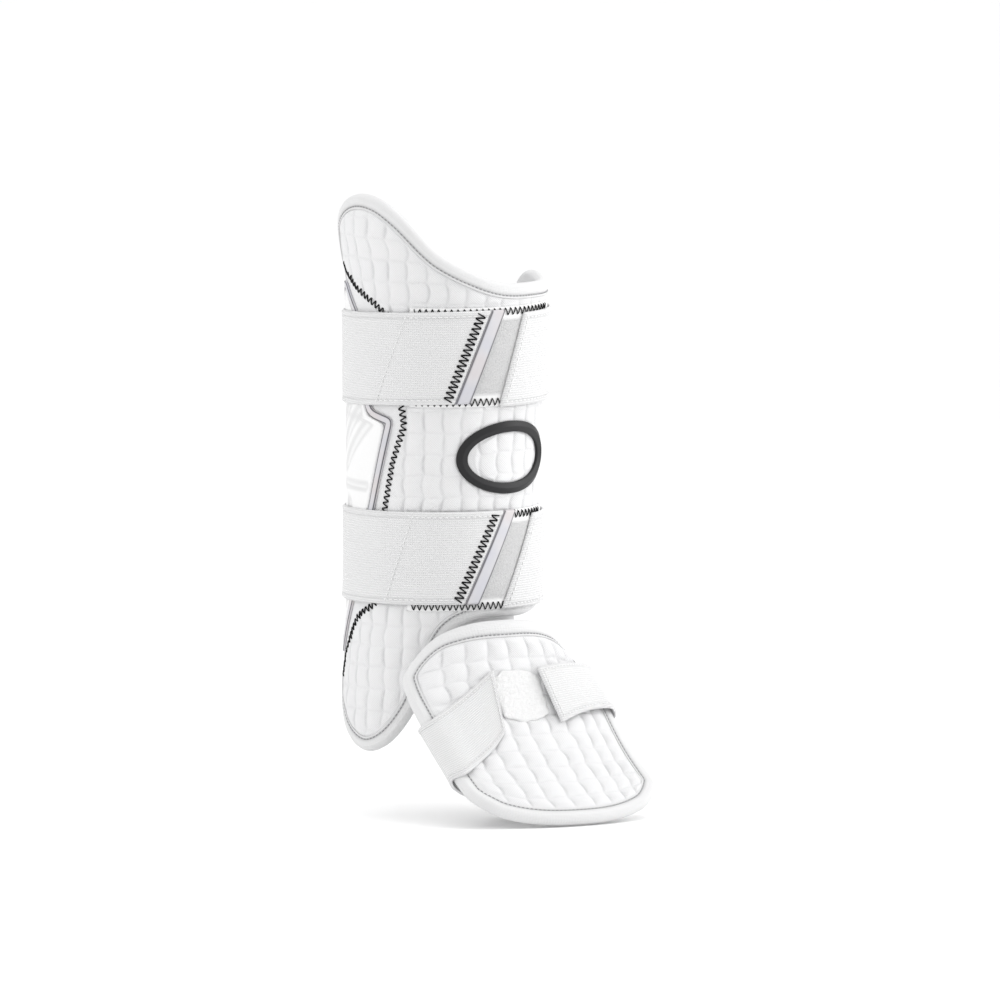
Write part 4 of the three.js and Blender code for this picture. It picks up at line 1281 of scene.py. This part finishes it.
back, front = foot_strap_edge(0), foot_strap_edge(1)
share = np.linspace(0, 1, strap_rows + 1)[:, None]
middle = back[:, None] * (1 - share) + front[:, None] * share
ahead = np.gradient(middle, axis=0)
upwards = unit(np.cross(ahead, (front - back)[:, None]))
gone = np.concatenate([[0], np.cumsum(np.linalg.norm(np.diff(middle[:, strap_rows // 2], axis=0), axis=1))])
width = np.linalg.norm(front - back, axis=1)[:, None]
beside = np.minimum(share[:, 0], 1 - share[:, 0]) * width
from_end = np.minimum(gone, gone[-1] - gone)[:, None] + 0 * beside
edge = np.minimum(beside, from_end)
crease = np.exp(-((edge - foot_hem) / 0.5)**2)
fold = 1 - ease(foot_hem - 0.5, foot_hem + 0.4, edge)
half = foot_strap_thickness / 2
lift = foot_strap_thickness * (0.3 + 0.7 * rolled_edge(edge, woven_edge)) - half
lift = lift + 0.2 * fold - 0.15 * crease + 0.3 * wander(middle * 0.03)
# The hem's crease also carries painted shade, through the seam attribute
foot_strap = sheet_piece(
    "foot_strap_web", middle + upwards * lift[..., None], middle - upwards * half,
    gone[:, None] + 0 * beside, share[:, 0] * width, 0.4 * crease)
dress(foot_strap, elastic_white, "elastic", "foot_strap")


def strap_line(i, j):
    """Places on the strap's outer face, for fractional columns and rows of its grid."""
    i0 = np.floor(i).astype(int).clip(0, strap_steps - 1)
    j0 = np.floor(j).astype(int).clip(0, strap_rows - 1)
    u, v = (i - i0)[..., None], (j - j0)[..., None]
    top = middle + upwards * (half + 0.08)
    return (
        top[i0, j0] * (1 - u) * (1 - v) + top[i0 + 1, j0] * u * (1 - v)
        + top[i0, j0 + 1] * (1 - u) * v + top[i0 + 1, j0 + 1] * u * v
    )


def strap_dashes(i, j):
    line = strap_line(i, j)
    places = even_steps(line, 3.0)
    nearest = np.argmin(np.linalg.norm(places[:, None] - line, axis=2), axis=1)
    up = upwards[np.round(i[nearest]).astype(int), np.round(j[nearest]).astype(int)]
    reach = unit(np.gradient(places, axis=0)) * 1.05
    return places - reach, places + reach, up


steps = np.arange(strap_steps + 1)
edge_rows = (3.0, strap_rows - 3.0)
sewn_rows = []
for distances, turned in ((gone, 0), (gone[-1] - gone[::-1], strap_steps)):
    hem_at, sewn_to = (abs(turned - np.interp(at, distances, steps)) for at in (foot_hem, foot_sewn_length))
    sewn_rows.append(strap_dashes(np.full(60, hem_at), np.linspace(*edge_rows, 60)))
    for row in edge_rows:
        sewn_rows.append(strap_dashes(np.linspace(hem_at, sewn_to, 120), np.full(120, row)))
sew("foot_strap_stitches", *together(*sewn_rows), foot_thread_width, white_thread, "elastic")

# Tongue: a plain sheet of lining fabric that bridges the ankle from the inside of the leg panel
# to the inside of the flap, sewn in at both ends, with soft folds across it.
tongue_top = 100.0
tongue_thickness = 1.5
tongue_turn = 5.0
tongue_half_turn = 25.0
tongue_in_leg = (1.0, 0.84, 0.7, 0.58)
tongue_bridge = ((0.04, 0.525), (0.14, 0.48), (0.23, 0.42))
tongue_on_flap = (0.158, 0.218, 0.279)
tongue_gap = 0.6
tongue_lift = -pad_wall - tongue_gap - tongue_thickness / 2
tongue_columns = 61
tongue_rows = 73
turns = tongue_turn + tongue_half_turn * np.linspace(-1, 1, tongue_columns)
paths = []
for turn in turns:
    across = (flap_gap - pad_wall) * math.sin(math.radians(turn) - foot_turn)
    paths.append(smooth_path(
        [leg_point(turn, tongue_top * rise, tongue_lift) for rise in tongue_in_leg]
        + [leg_point(turn, tongue_top * height, tongue_lift + tongue_top * beyond)
           for beyond, height in tongue_bridge]
        + [flap_surface(across, flap_length * along, tongue_lift) for along in tongue_on_flap],
        False, tongue_rows))
middle = np.array(paths)
ahead = np.gradient(middle, axis=1)
aside = np.gradient(middle, axis=0)
upwards = unit(np.cross(ahead, aside))
fold = wander(middle * (0.02, 0.05, 0.11))
loose = np.sin(np.linspace(0, math.pi, tongue_rows))**2
middle = middle + upwards * (0.5 * fold * loose)[..., None]
wide = np.cumsum(np.linalg.norm(aside, axis=2), axis=0)
deep = np.cumsum(np.linalg.norm(ahead, axis=2), axis=1)
lining_white = ribbed_material("lining_fabric", (0.82, 0.82, 0.822), (0.62, 0.62, 0.625), 1.0, 1.0, 0.00012)
tongue = sheet_piece(
    "instep_tongue_cloth", middle + upwards * tongue_thickness / 2,
    middle - upwards * tongue_thickness / 2, wide, deep)
dress(tongue, lining_white, "lining", "instep_tongue")

# Floor and light: a plain white floor under an even white sky, a broad soft light from the right
# and weaker ones from the left and from above, as in a product photograph.
floor_height = cad_box[0][2] - 0.0015
floor_reach = 9
light_distance = 1.4
light_size = 0.7
sky_strength = 1.07
floor_mesh = bpy.data.meshes.new("floor")
floor_corners = [(-1, -1), (1, -1), (1, 1), (-1, 1)]
floor_mesh.from_pydata(
    [(x * floor_reach, y * floor_reach, floor_height) for x, y in floor_corners], [], [(0, 1, 2, 3)])
floor = bpy.data.objects.new("floor", floor_mesh)
bpy.context.collection.objects.link(floor)
floor_white, _, floor_shader = plain_material("floor_white", 0.9)
floor_shader.inputs["Base Color"].default_value = (0.94, 0.94, 0.94, 1)
floor_mesh.materials.append(floor_white)

world = bpy.data.worlds.new("studio")
world.use_nodes = True
world.node_tree.nodes["Background"].inputs[0].default_value = (1, 1, 1, 1)
world.node_tree.nodes["Background"].inputs[1].default_value = sky_strength
bpy.context.scene.world = world
bpy.context.scene.view_settings.view_transform = "Standard"


def soft_light(name, towards, power):
    """A square light that faces the leg; towards gives right, towards the camera, and up."""
    direction = (towards[0] * view_right + towards[1] * view_back + towards[2] * view_up).normalized()
    data = bpy.data.lights.new(name, "AREA")
    data.size = light_size
    data.energy = power
    light = bpy.data.objects.new(name, data)
    light.location = Vector((0, 0, 0.15)) + light_distance * direction
    light.rotation_euler = direction.to_track_quat("Z", "Y").to_euler()
    bpy.context.collection.objects.link(light)


soft_light("right_light", (1.0, 0.0, 0.35), 7.5)
soft_light("left_light", (-1.0, 0.05, 0.3), 3)
soft_light("top_light", (0.35, 0.3, 1.0), 3.5)
